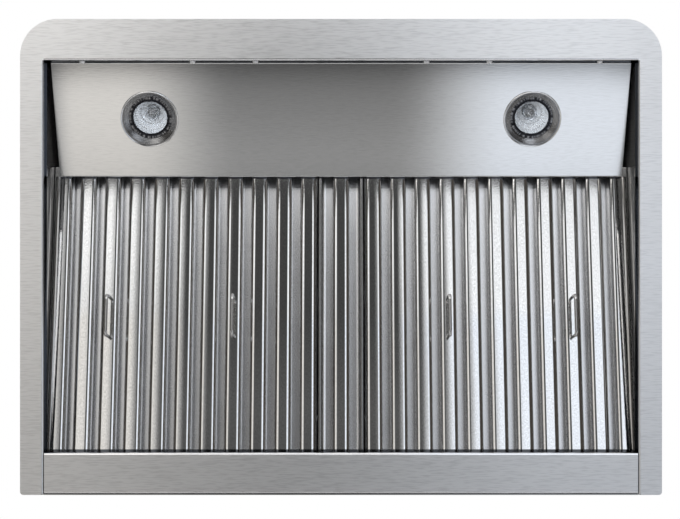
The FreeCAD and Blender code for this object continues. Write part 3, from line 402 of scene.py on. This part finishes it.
# Bulb retainers: black-oxide spring rings with three lugs, snapped into the trim to hold the bulb. Their
# knurled outer half is worn bare in places.
RETAINER_RIBS, RIB_DEPTH = 56, 0.00008
WORN_FROM, WORN_FULL = 0.0230, 0.0248
WORN_PATCHES = 8.0
BARE_TONE = (0.34, 0.34, 0.35)
for name, seat in lamp_seats.items():
    oxide_material, oxide_shader, oxide_place = new_finish(f"black_oxide_ring_{name}", Metallic=0.9)
    oxide_specks = grain(oxide_place, (0.0007, 0.0007, 0.0007), 4.0)
    offset = vector_maths("SUBTRACT", oxide_place, seat.to_translation())
    runs = [vector_maths("DOT_PRODUCT", offset, seat.to_3x3().col[axis], "Value") for axis in (1, 0)]
    turn = offset.maths("ARCTAN2", *runs)
    ribs = turn.maths("SINE", turn * RETAINER_RIBS, 0.0)
    worn = step_between(grain_along(turn * WORN_PATCHES, 1.0) + ribs * 0.06, 0.40, 0.60)
    bare = step_between(from_axis(oxide_place, seat), WORN_FROM, WORN_FULL) * worn
    oxide_tone = shade(oxide_specks, (0.010, 0.011, 0.014), (0.040, 0.041, 0.048))
    feed(oxide_shader,
         Base_Color=shade(bare, oxide_tone, BARE_TONE),
         Roughness=0.12 + oxide_specks * 0.20,
         Normal=relief(oxide_specks * 0.00006 + ribs * RIB_DEPTH))
    dress(oxide_material, f"lamp_retainer_{name}")

# Bulb bowls: pressed glass, mirrored inside, with two rings of swelling radial facets and a smooth throat.
# The retainer holds each bowl by its rim, and its neck plugs into the socket above.
BULB_RADIUS, BULB_NECK = 0.026, 0.0098
BULB_LOW, BULB_TOP, BULB_BASE_TOP = 0.0075, 0.0375, 0.0455
BULB_GLASS = 0.0012
BULB_FLUTES, FLUTE_STEPS = 40, 6
FLUTE_DEPTH, FLUTE_EASE = 0.0011, 6
FLUTE_RINGS = ((0.0, 0.34), (0.34, 0.64))
BOWL_RINGS = 26


def bowl_height(radius):
    """The bowl's parabola, from its mouth up to the neck."""
    share = (radius ** 2 - BULB_NECK ** 2) / (BULB_RADIUS ** 2 - BULB_NECK ** 2)
    return BULB_TOP - (BULB_TOP - BULB_LOW) * share


def flute(share, turn):
    """How far a facet swells out of the bowl, a share of the way up to the neck and at a turn from 0 to 1."""
    for number, (first, last) in enumerate(FLUTE_RINGS):
        if first <= share <= last:
            across = (turn * BULB_FLUTES + 0.5 * number) % 1.0
            along = (share - first) / (last - first)
            return FLUTE_DEPTH * 4 * across * (1 - across) * min(1.0, FLUTE_EASE * min(along, 1 - along))
    return 0.0


mirror_glass = grained("mirrored_bulb_glass", (0.003, 0.003, 0.003), (0.86, 0.90, 0.95), (0.94, 0.97, 1.0),
                       rough=0.04, swing=0.06, Metallic=0.4)
bowl_steps = BULB_FLUTES * FLUTE_STEPS
for name, seat in lamp_seats.items():
    work = bmesh.new()
    rings = []
    for number in range(BOWL_RINGS + 1):
        share = number / BOWL_RINGS
        radius = BULB_RADIUS - BULB_GLASS + (BULB_NECK - BULB_RADIUS) * share
        height = max(bowl_height(radius + BULB_GLASS) - BULB_GLASS, BULB_LOW)
        ring = []
        for step in range(bowl_steps):
            swell = radius - flute(share, step / bowl_steps)
            turn = 2 * math.pi * step / bowl_steps
            point = Vector((swell * math.cos(turn), swell * math.sin(turn), height))
            ring.append(work.verts.new(seat @ point))
        rings.append(ring)
    rings += [ring_of(work, radius, BULB_BASE_TOP, bowl_steps, seat)
              for radius in (BULB_NECK - BULB_GLASS, BULB_NECK)]
    for number in range(BOWL_RINGS, -1, -2):
        radius = BULB_RADIUS + (BULB_NECK - BULB_RADIUS) * number / BOWL_RINGS
        rings.append(ring_of(work, radius, bowl_height(radius), bowl_steps, seat))
    skin(work, rings + rings[:1], bowl_steps)
    make_piece(f"bulb_bowl_{name}", work, mirror_glass, "hood", "bulb_mirror", f"bulb_reflector_{name}",
               sharp=50.0)

# Bulb capsules: a domed tube of clear quartz in the bulb's neck. Inside it a coiled tungsten filament hangs
# across two molybdenum posts over a flat pinch.
CAPSULE_RADIUS, CAPSULE_WALL = 0.0082, 0.0009
CAPSULE_LOW, CAPSULE_TOP = 0.0160, 0.0450
CAPSULE_SEGMENTS, DOME_STEPS = 48, 8
COIL_HALF, COIL_RADIUS, COIL_WIRE, COIL_HEIGHT = 0.0034, 0.0011, 0.00028, 0.0245
COIL_TURNS, COIL_STEPS = 9, 10
POST_WIRE, POST_CRANK, POST_RISE, POST_SUNK = 0.00045, 0.0006, 0.0010, 0.002
PINCH_WIDTH, PINCH_THICK, PINCH_LOW, PINCH_EDGE = 0.0104, 0.0028, 0.0330, 0.0006


def capsule_skin(inset):
    """One skin of the capsule from the tip of its dome up to the neck."""
    radius = CAPSULE_RADIUS - inset
    middle = CAPSULE_LOW + CAPSULE_RADIUS
    turns = [math.pi / 2 * step / DOME_STEPS for step in range(1, DOME_STEPS + 1)]
    dome = [(radius * math.sin(turn), middle - radius * math.cos(turn)) for turn in turns]
    return [(0, middle - radius), *dome, (radius, CAPSULE_TOP)]


def wire_along(work, points, radius, seat, sides=8):
    """A round wire along a run of points, closed at both ends."""
    rings = []
    side = None
    turns = [2 * math.pi * step / sides for step in range(sides)]
    for number, point in enumerate(points):
        run = (points[min(number + 1, len(points) - 1)] - points[max(number - 1, 0)]).normalized()
        side = (side - run * side.dot(run)).normalized() if side else run.orthogonal().normalized()
        over = run.cross(side)
        spokes = [(side * math.cos(turn) + over * math.sin(turn)) * radius for turn in turns]
        rings.append([work.verts.new(seat @ (point + spoke)) for spoke in spokes])
    skin(work, rings, sides)
    work.faces.new(rings[0])
    work.faces.new(rings[-1])


quartz = grained("clear_quartz", (0.003, 0.003, 0.006), (0.90, 0.93, 0.97), (0.98, 0.99, 1.0),
                 rough=0.02, swing=0.06, Transmission_Weight=0.92, IOR=1.45)
tungsten = grained("drawn_tungsten", (0.0004, 0.0004, 0.0004), (0.16, 0.16, 0.17), (0.34, 0.34, 0.36),
                   rough=0.25, swing=0.20, Metallic=1.0)
coil_turns = [2 * math.pi * step / COIL_STEPS for step in range(COIL_TURNS * COIL_STEPS + 1)]
coil = [Vector((COIL_HALF * (turn / (math.pi * COIL_TURNS) - 1),
                COIL_RADIUS * math.cos(turn),
                COIL_HEIGHT + COIL_RADIUS * math.sin(turn))) for turn in coil_turns]
for name, seat in lamp_seats.items():
    work = bmesh.new()
    lathe(work, capsule_skin(0.0) + capsule_skin(CAPSULE_WALL)[::-1], CAPSULE_SEGMENTS, seat)
    make_piece(f"bulb_quartz_{name}", work, quartz, "hood", "bulb_glass", f"bulb_capsule_{name}")
    work = bmesh.new()
    wire_along(work, coil, COIL_WIRE, seat)
    for end in (-1, 1):
        foot = Vector((end * COIL_HALF, COIL_RADIUS, COIL_HEIGHT))
        bend = foot + Vector((end * POST_CRANK, -POST_CRANK, POST_RISE))
        head = Vector((end * (COIL_HALF + POST_CRANK), 0, PINCH_LOW + POST_SUNK))
        wire_along(work, [foot, bend, head], POST_WIRE, seat)
    pinch = seat @ Matrix.Translation((0, 0, (PINCH_LOW + CAPSULE_TOP) / 2))
    pinch_size = Matrix.Diagonal((PINCH_WIDTH, PINCH_THICK, CAPSULE_TOP - PINCH_LOW, 1.0))
    block = bmesh.ops.create_cube(work, size=1.0, matrix=pinch @ pinch_size)
    edges = {edge for corner in block["verts"] for edge in corner.link_edges}
    bmesh.ops.bevel(work, geom=list(edges), offset=PINCH_EDGE, segments=3, affect="EDGES")
    make_piece(f"bulb_filament_{name}", work, tungsten, "hood", "shaft_steel")

# Lamp sockets and cans: each bulb's neck plugs into a ceramic holder with a glazed skin, inside a drawn
# aluminium cup that closes the lamp from above.
ceramic_material, ceramic_shader, ceramic_place = new_finish("glazed_ceramic",
                                                             Coat_Weight=0.4, Coat_Roughness=0.15)
ceramic_specks = grain(ceramic_place, (0.0012, 0.0012, 0.0012), 4.0)
feed(ceramic_shader,
     Base_Color=shade(step_between(ceramic_specks, 0.62, 0.75), (0.80, 0.79, 0.75), (0.55, 0.52, 0.47)),
     Roughness=0.35 + ceramic_specks * 0.2,
     Normal=relief(ceramic_specks * 0.00004))
for name, seat in lamp_seats.items():
    dress(ceramic_material, f"lamp_socket_{name}")
    can_metal = turned_metal(f"drawn_can_{name}", seat, (0.46, 0.46, 0.46), (0.62, 0.62, 0.62), rough=0.30)
    dress(can_metal, f"lamp_can_{name}")

# Front and collar screws: zinc-plated pan heads with a pressed cross recess. Six hold the light panel to the
# rim's return and six the duct collar to the top; each stops at a turn of its own.
HEAD_RADIUS, HEAD_HEIGHT = 0.0033, 0.0030
HEAD_CURVE = ((0.0029, 0.0018), (0.00322, 0.0012), (HEAD_RADIUS, 0.0004), (HEAD_RADIUS, 0.0))
HEAD_SEGMENTS, HEAD_SHARP = 32, 35.0
CROWN_RADIUS, CROWN_DROP = 0.0023, 0.0006
SHANK_RADIUS = 0.0017
CROSS_REACH, CROSS_HALF, CROSS_DEPTH, CROSS_TAPER = 0.0019, 0.00045, 0.0012, 0.78
FRONT_SCREW_X = (0.102, 0.177, 0.309)
FRONT_SCREW_Y, FRONT_SCREW_Z, FRONT_SHANK = -0.3634, -0.271, 0.006
COLLAR_RING, COLLAR_Y, COLLAR_FLANGE, COLLAR_SHANK = 0.0974, 0.010, 0.0012, 0.0024
COLLAR_SCREWS = 6


def crown_height(radius):
    """The height of the head's crown at this distance from its axis."""
    return HEAD_HEIGHT - CROWN_DROP * (radius / CROWN_RADIUS) ** 2


def pan_head(work, seat, shank):
    """A screw whose head looks along the seat's Z axis."""
    outline = [(CROWN_RADIUS, crown_height(CROWN_RADIUS)), *HEAD_CURVE,
               (SHANK_RADIUS, 0.0), (SHANK_RADIUS, -shank), (0, -shank)]
    crown = lathe(work, outline, HEAD_SEGMENTS, seat)[0]
    corners = ((CROSS_REACH, -CROSS_HALF, 0), (CROSS_REACH, CROSS_HALF, 0), (CROSS_HALF, CROSS_HALF, 0))
    cross = [Matrix.Rotation(math.pi / 2 * quarter, 3, "Z") @ Vector(corner)
             for quarter in range(4) for corner in corners]
    top = [work.verts.new(seat @ (corner + Vector((0, 0, crown_height(corner.length))))) for corner in cross]
    low = [work.verts.new(seat @ (corner * CROSS_TAPER + Vector((0, 0, HEAD_HEIGHT - CROSS_DEPTH))))
           for corner in cross]
    per_arm, per_quarter = len(corners), HEAD_SEGMENTS // 4
    for quarter in range(4):
        arm, first = per_arm * quarter, per_quarter * quarter
        following = (arm + per_arm) % len(cross)
        work.faces.new((top[arm], top[arm + 1], crown[first + 1], crown[first], crown[first - 1]))
        work.faces.new([top[following], top[arm + 2], top[arm + 1]]
                       + [crown[first + number] for number in range(1, per_quarter)])
        work.faces.new((low[arm], low[arm + 1], low[arm + 2], low[arm - 1]))
    work.faces.new(low[2::per_arm])
    for number in range(len(cross)):
        after = (number + 1) % len(cross)
        work.faces.new((top[number], top[after], low[after], low[number]))


zinc = grained("zinc_plated_steel", (0.0009, 0.0009, 0.0009), (0.90, 0.90, 0.91), (1.0, 1.0, 1.0),
               rough=0.36, swing=0.24, depth=0.00003, detail=3.0, Metallic=1.0)
work = bmesh.new()
for x in FRONT_SCREW_X:
    for side in (-1, 1):
        seat = Matrix.Translation((side * x, FRONT_SCREW_Y, FRONT_SCREW_Z))
        turned = Matrix.Rotation(-math.pi / 2, 4, "X") @ Matrix.Rotation(0.4 * side + 20 * x, 4, "Z")
        pan_head(work, seat @ turned, FRONT_SHANK)
make_piece("front_screw_set", work, zinc, "hood", "screw_steel", "front_screws", sharp=HEAD_SHARP)
work = bmesh.new()
for number in range(COLLAR_SCREWS):
    turn = 2 * math.pi * (number + 0.5) / COLLAR_SCREWS
    place = (COLLAR_RING * math.cos(turn), COLLAR_Y + COLLAR_RING * math.sin(turn), COLLAR_FLANGE)
    pan_head(work, Matrix.Translation(place) @ Matrix.Rotation(0.7 * number, 4, "Z"), COLLAR_SHANK)
make_piece("collar_screw_set", work, zinc, "hood", "screw_steel", "collar_screws", sharp=HEAD_SHARP)
dress(zinc, "inner_screws")

# Blower, duct collar, dampers and wiring box: hot-dip galvanised sheet, folded, rolled or spun to shape.
# Zinc sets in angular crystals, dull and bright, over a soft grey bloom.
SPANGLE_SCALE, SPANGLE_WARP, SPANGLE_DEPTH = 130.0, 0.004, 0.00001


def galvanised(name, dark, light, rough):
    """Zinc-coated sheet with a spangle of crystals."""
    material, shader, place = new_finish(name, Metallic=0.9)
    warped = vector_maths("ADD", place, grain(place, (0.006, 0.006, 0.006)) * SPANGLE_WARP)
    cells = place.node("ShaderNodeTexVoronoi", {"feature": "F1"},
                       {"Vector": warped, "Scale": SPANGLE_SCALE, "Randomness": 1.0}, "Color")
    spangle = place.node("ShaderNodeSeparateColor", {}, {0: cells}, 0)
    bloom = grain(place, (0.05, 0.05, 0.05), 3.0)
    feed(shader,
         Base_Color=shade(spangle * 0.6 + bloom * 0.4, dark, light),
         Roughness=rough + spangle * 0.14 + (bloom - 0.5) * 0.10,
         Normal=relief(spangle * SPANGLE_DEPTH))
    return material


duct_zinc = galvanised("galvanised_duct", (0.44, 0.45, 0.46), (0.68, 0.69, 0.70), rough=0.30)
dress(duct_zinc, "duct_collar", "damper_flap_front", "damper_flap_rear", "wiring_box", "wiring_cover")
blower_zinc = galvanised("galvanised_blower", (0.36, 0.37, 0.38), (0.56, 0.57, 0.58), rough=0.36)
dress(blower_zinc, "scroll_wrap", "scroll_side_left", "scroll_side_right", "impeller", "motor_bracket",
      "capacitor_clip")

# Motor: a cast shell in black baked enamel, with a ground steel shaft that carries the impeller. The damper's
# pin is cut from the same bar.
enamel_material, enamel_shader, enamel_place = new_finish("black_enamel", Coat_Weight=0.3, Coat_Roughness=0.2)
enamel_peel = grain(enamel_place, (0.0015, 0.0015, 0.0015), 3.0)
enamel_dust = grain(enamel_place, (0.03, 0.03, 0.03), 3.0)
feed(enamel_shader,
     Base_Color=shade(step_between(enamel_dust, 0.5, 0.8), (0.018, 0.018, 0.020), (0.075, 0.072, 0.068)),
     Roughness=0.32 + enamel_dust * 0.20,
     Normal=relief(enamel_peel * 0.00006))
dress(enamel_material, "motor_body")
bar_steel = grained("ground_bar", (0.0004, 0.02, 0.02), (0.52, 0.52, 0.52), (0.70, 0.70, 0.69),
                    rough=0.14, swing=0.12, depth=0.000006, Metallic=1.0)
dress(bar_steel, "motor_shaft", "damper_pin")

# Capacitor, bushing, control bezel and tray: moulded plastic with a fine spark-eroded grain, ivory for the
# capacitor and black for the rest. The bezel lies flush in the lip and the tray is fixed behind it.


def moulded(name, dark, light, rough):
    """Plastic with a fine moulded grain."""
    material, shader, place = new_finish(name)
    pores = grain(place, (0.0006, 0.0006, 0.0006), 3.0)
    cloud = grain(place, (0.02, 0.02, 0.02))
    feed(shader,
         Base_Color=shade(cloud * 0.5 + pores * 0.5, dark, light),
         Roughness=rough + (pores - 0.5) * 0.20,
         Normal=relief(pores * 0.00005))
    return material


dress(moulded("ivory_moulding", (0.66, 0.65, 0.61), (0.78, 0.77, 0.73), rough=0.45), "capacitor")
dress(moulded("black_moulding", (0.012, 0.012, 0.013), (0.034, 0.034, 0.035), rough=0.42),
      "wiring_bushing", "control_bezel", "control_housing")

# Control board: green coated laminate with copper tracks under the coat, and five black tact switches on it.
# It stands on posts in the tray.
BOARD_FACE_Y = -0.3958
SWITCH_TONE = (0.02, 0.02, 0.02)
board_material, board_shader, board_place = new_finish("coated_laminate", Specular_IOR_Level=0.5)
board_weave = grain(board_place, (0.0004, 0.0004, 0.0004))
board_upright = board_place.node("ShaderNodeVectorRotate", {"rotation_type": "X_AXIS"},
                                 {"Vector": board_place, "Angle": math.pi / 2})
board_tracks = board_place.node("ShaderNodeTexBrick", {}, {
    "Vector": board_upright, "Scale": 1.0, "Mortar Size": 0.0004, "Brick Width": 0.011, "Row Height": 0.0028},
    "Fac")
board_green = shade(board_tracks, (0.012, 0.085, 0.030), (0.040, 0.170, 0.060))
feed(board_shader,
     Base_Color=shade(component(board_place, "Y") < BOARD_FACE_Y, board_green, SWITCH_TONE),
     Roughness=0.28 + board_weave * 0.18,
     Normal=relief(board_tracks * 0.00003 + board_weave * 0.00001))
dress(board_material, "control_board")

# Push buttons: turned steel caps with a shallow dished face and a rolled edge, satin plated. A flange behind
# the bezel keeps each one in, and a stem reaches its switch.
BUTTON_NAMES = ("lamp", "low", "medium", "high", "stop")
BUTTON_PITCH, BUTTON_FACE_Y, BUTTON_Z = 0.027, -0.4125, -0.247
BUTTON_SEGMENTS = 64
BUTTON_DISH = ((0, 0.00005), (0.0025, 0.00008), (0.0048, 0.00020), (0.0060, 0.00038), (0.0066, 0.0005))
BUTTON_EDGE = ((0.0070, 0.0005), (0.00735, 0.00035), (0.0075, 0.0), (0.0075, -0.0035))
BUTTON_FLANGE = ((0.009, -0.0035), (0.009, -0.005))
BUTTON_STEM = ((0.0025, -0.005), (0.0025, -0.010), (0, -0.010))
for number, name in enumerate(BUTTON_NAMES):
    across = (number - len(BUTTON_NAMES) // 2) * BUTTON_PITCH
    seat = Matrix.Translation((across, BUTTON_FACE_Y, BUTTON_Z)) @ Matrix.Rotation(math.pi / 2, 4, "X")
    work = bmesh.new()
    lathe(work, BUTTON_DISH + BUTTON_EDGE + BUTTON_FLANGE + BUTTON_STEM, BUTTON_SEGMENTS, seat)
    cap_metal = turned_metal(f"turned_cap_{name}", seat, (0.58, 0.58, 0.58), (0.76, 0.76, 0.76), rough=0.16)
    make_piece(f"button_cap_{name}", work, cap_metal, f"{name}_button", "button_metal", f"button_{name}",
               sharp=50.0)

# Studio: a pale floor far below, soft lamps round the hood, and a camera straight underneath.
# Cards just below the camera's level are what the bright steel mirrors: white at the sides, dark between.
CAMERA_PLACE, CAMERA_LENS = (-0.0012, -0.127, -1.929), 73.6
FLOOR_Z, FLOOR_REACH = -2.30, 12.0
CARD_Z, CARD_REACH = -2.0, 3.0
LEFT_END, RIGHT_END = -1.35, 0.98
ENDS_FROM, ENDS_TO = -1.6, 0.10
RAMP_SPREAD = (-0.85, -0.40)
BAFFLE_RAMPS = ((-0.64, -0.33), (0.11, 0.31, 0.45))
PANEL_RAMPS = ((-0.62, -0.30), (0.16, 0.50, 0.50))
PLAIN, PALE = (1.0, 1.0, 1.0), (0.95, 0.97, 1.0)
WARM, COOL, BROWN = (1.0, 0.97, 0.93), (0.87, 0.92, 1.0), (1.0, 0.88, 0.78)
WORLD_LIGHT = 0.45
LAMP_AIM = Vector((0.0, -0.13, -0.15))

camera_data = bpy.data.cameras.new("camera_below")
camera_data.sensor_width = 36.0
camera_data.lens = CAMERA_LENS
camera = bpy.data.objects.new("camera_below", camera_data)
camera.location = CAMERA_PLACE
camera.rotation_euler = (math.pi, 0.0, 0.0)
bpy.context.scene.collection.objects.link(camera)
bpy.context.scene.camera = camera
bpy.context.scene.view_settings.view_transform = "Standard"


def flat_sheet(name, x0, x1, y0, y1, z, material):
    """A flat sheet of the studio, facing up."""
    mesh = bpy.data.meshes.new(name)
    mesh.from_pydata([(x0, y0, z), (x1, y0, z), (x1, y1, z), (x0, y1, z)], [], [(0, 1, 2, 3)])
    mesh.materials.append(material)
    sheet = bpy.data.objects.new(name, mesh)
    bpy.context.scene.collection.objects.link(sheet)
    return sheet


def run_between(value, low, high, first, last):
    """An even run, from the first value at low to the last at high."""
    return value.node("ShaderNodeMapRange", {}, {"Value": value, "From Min": low, "From Max": high,
                                                 "To Min": first, "To Max": last})


def glowing(name, y0, y1, left, middle, right, ramps):
    """A glowing surface with a left, a middle and a right part that melt together across two ramps along X.

    Each part has a colour and a strength that runs evenly from one value at y0 to another at y1. The right
    ramp has a start and two ends, since it spreads towards the rear.
    """
    material = bpy.data.materials.new(name)
    material.use_nodes = True
    tree = material.node_tree
    tree.nodes.clear()
    place = Wire(tree.nodes.new("ShaderNodeTexCoord").outputs["Object"])
    across, along = component(place, "X"), component(place, "Y")
    left_ramp, (right_start, front_end, rear_end) = ramps
    at_left = 1.0 - step_between(across, *left_ramp)
    at_right = step_between(across, right_start, run_between(along, *RAMP_SPREAD, front_end, rear_end))
    shares = (at_left, 1.0 - at_left - at_right, at_right)
    strength = 0.0
    for share, (_, first, last) in zip(shares, (left, middle, right)):
        strength = strength + share * run_between(along, y0, y1, first, last)
    colour = shade(at_left, shade(at_right, middle[0], right[0]), left[0])
    colour = colour.node("ShaderNodeVectorMath", {"operation": "SCALE"}, {0: colour, "Scale": strength})
    glow = place.node("ShaderNodeEmission", {}, {"Color": colour})
    output = tree.nodes.new("ShaderNodeOutputMaterial")
    tree.links.new(glow.socket, output.inputs["Surface"])
    return material


def mirrored_card(name, x0, x1, y0, y1, *parts):
    """A glowing card that only mirrors show: it isn't seen itself, lights no dull face and casts no shadow."""
    card = flat_sheet(name, x0, x1, y0, y1, CARD_Z, glowing(name, y0, y1, *parts))
    card.visible_camera = False
    card.visible_diffuse = False
    card.visible_shadow = False


card_rows = {
    "far_lead": (-3.0, -1.6, (WARM, 1.8, 1.8), (PLAIN, 1.6, 1.6), (COOL, 1.7, 1.7), BAFFLE_RAMPS),
    "lead": (-1.6, -1.06, (WARM, 1.7, 1.7), (PLAIN, 1.5, 1.5), (COOL, 1.6, 1.6), BAFFLE_RAMPS),
    "flag": (-1.06, -0.972, (PLAIN, 0.06, 0.06), (PLAIN, 0.06, 0.06), (PLAIN, 0.06, 0.06), BAFFLE_RAMPS),
    "front": (-0.972, -0.80, (PLAIN, 1.04, 1.04), (PLAIN, 0.055, 0.055), (PALE, 0.97, 1.02), BAFFLE_RAMPS),
    "bend": (-0.80, -0.62, (PLAIN, 1.04, 0.81), (PLAIN, 0.055, 0.055), (PALE, 1.02, 1.06), BAFFLE_RAMPS),
    "side": (-0.62, -0.37, (WARM, 0.81, 0.79), (PLAIN, 0.055, 0.095), (COOL, 1.06, 1.08), BAFFLE_RAMPS),
    "hind": (-0.37, 0.10, (WARM, 0.79, 0.70), (PLAIN, 0.095, 0.05), (COOL, 1.08, 1.0), BAFFLE_RAMPS),
    "middle": (0.10, 0.75, (WARM, 0.42, 0.34), (PLAIN, 0.18, 0.15), (COOL, 0.54, 0.42), BAFFLE_RAMPS),
    "dusk": (0.75, 0.935, (WARM, 0.30, 0.08), (PLAIN, 0.06, 0.04), (COOL, 0.35, 0.10), PANEL_RAMPS),
    "dawn": (0.935, 0.98, (WARM, 0.08, 0.61), (PLAIN, 0.04, 0.137), (COOL, 0.10, 0.78), PANEL_RAMPS),
    "rise": (0.98, 1.033, (WARM, 0.61, 0.74), (PLAIN, 0.137, 0.19), (COOL, 0.78, 0.90), PANEL_RAMPS),
    "rear": (1.033, 1.31, (WARM, 0.74, 0.63), (PLAIN, 0.19, 0.29), (COOL, 0.90, 0.86), PANEL_RAMPS),
    "after": (1.31, 1.60, (WARM, 0.60, 0.50), (PLAIN, 0.25, 0.25), (COOL, 0.82, 0.70), PANEL_RAMPS),
    "far_rear": (1.60, 1.90, (WARM, 1.3, 1.3), (PLAIN, 1.0, 1.0), (COOL, 1.4, 1.4), PANEL_RAMPS),
    "back": (1.90, 2.60, (PLAIN, 0.06, 0.06), (PLAIN, 0.06, 0.06), (PLAIN, 0.06, 0.06), PANEL_RAMPS),
}
for name, (y0, y1, *parts) in card_rows.items():
    ends = (LEFT_END, RIGHT_END) if ENDS_FROM <= y0 < ENDS_TO else (-CARD_REACH, CARD_REACH)
    mirrored_card(f"studio_card_{name}", *ends, y0, y1, *parts)
dark_parts = [(BROWN, 0.06, 0.06)] * 3
for name, ends in (("left", (-FLOOR_REACH, LEFT_END)), ("right", (RIGHT_END, FLOOR_REACH))):
    mirrored_card(f"studio_dark_{name}", *ends, ENDS_FROM, ENDS_TO, *dark_parts, BAFFLE_RAMPS)

floor_material, floor_shader, floor_place = new_finish("pale_floor", Base_Color=(0.84, 0.84, 0.84, 1.0),
                                                       Roughness=0.9)
floor_behind = floor_place.node("ShaderNodeNewGeometry", {}, {}, "Backfacing")
floor_clear = floor_place.node("ShaderNodeBsdfTransparent", {}, {})
floor_mix = floor_place.node("ShaderNodeMixShader", {}, {0: floor_behind, 1: Wire(floor_shader.outputs[0]),
                                                         2: floor_clear})
feed(floor_material.node_tree.nodes["Material Output"], Surface=floor_mix)
flat_sheet("studio_floor", -FLOOR_REACH, FLOOR_REACH, -FLOOR_REACH, FLOOR_REACH, FLOOR_Z, floor_material)

world = bpy.data.worlds.new("studio_world")
bpy.context.scene.world = world
world.use_nodes = True
rays = world.node_tree.nodes.new("ShaderNodeLightPath").outputs
seen = Wire(rays["Is Camera Ray"])
for kind in ("Is Glossy Ray", "Is Transmission Ray"):
    seen = seen.maths("MAXIMUM", seen, Wire(rays[kind]))
backdrop = world.node_tree.nodes["Background"]
backdrop.inputs["Color"].default_value = (1.0, 1.0, 1.0, 1.0)
feed(backdrop, Strength=WORLD_LIGHT + seen * (1.0 - WORLD_LIGHT))

studio_lamps = {
    "key": ((-1.6, -2.2, 1.4), 1.6, 60.0),
    "fill": ((2.0, -1.4, 0.9), 1.8, 36.0),
    "back": ((0.4, 2.2, 1.6), 1.6, 36.0),
    "low": ((-0.3, -0.1, -1.97), 1.0, 22.0),
}
for name, (place, size, power) in studio_lamps.items():
    data = bpy.data.lights.new(f"soft_{name}", "AREA")
    data.size = size
    data.energy = power
    lamp = bpy.data.objects.new(f"soft_{name}", data)
    lamp.location = place
    lamp.rotation_euler = (LAMP_AIM - Vector(place)).to_track_quat("-Z", "Y").to_euler()
    lamp.visible_glossy = False
    bpy.context.scene.collection.objects.link(lamp)
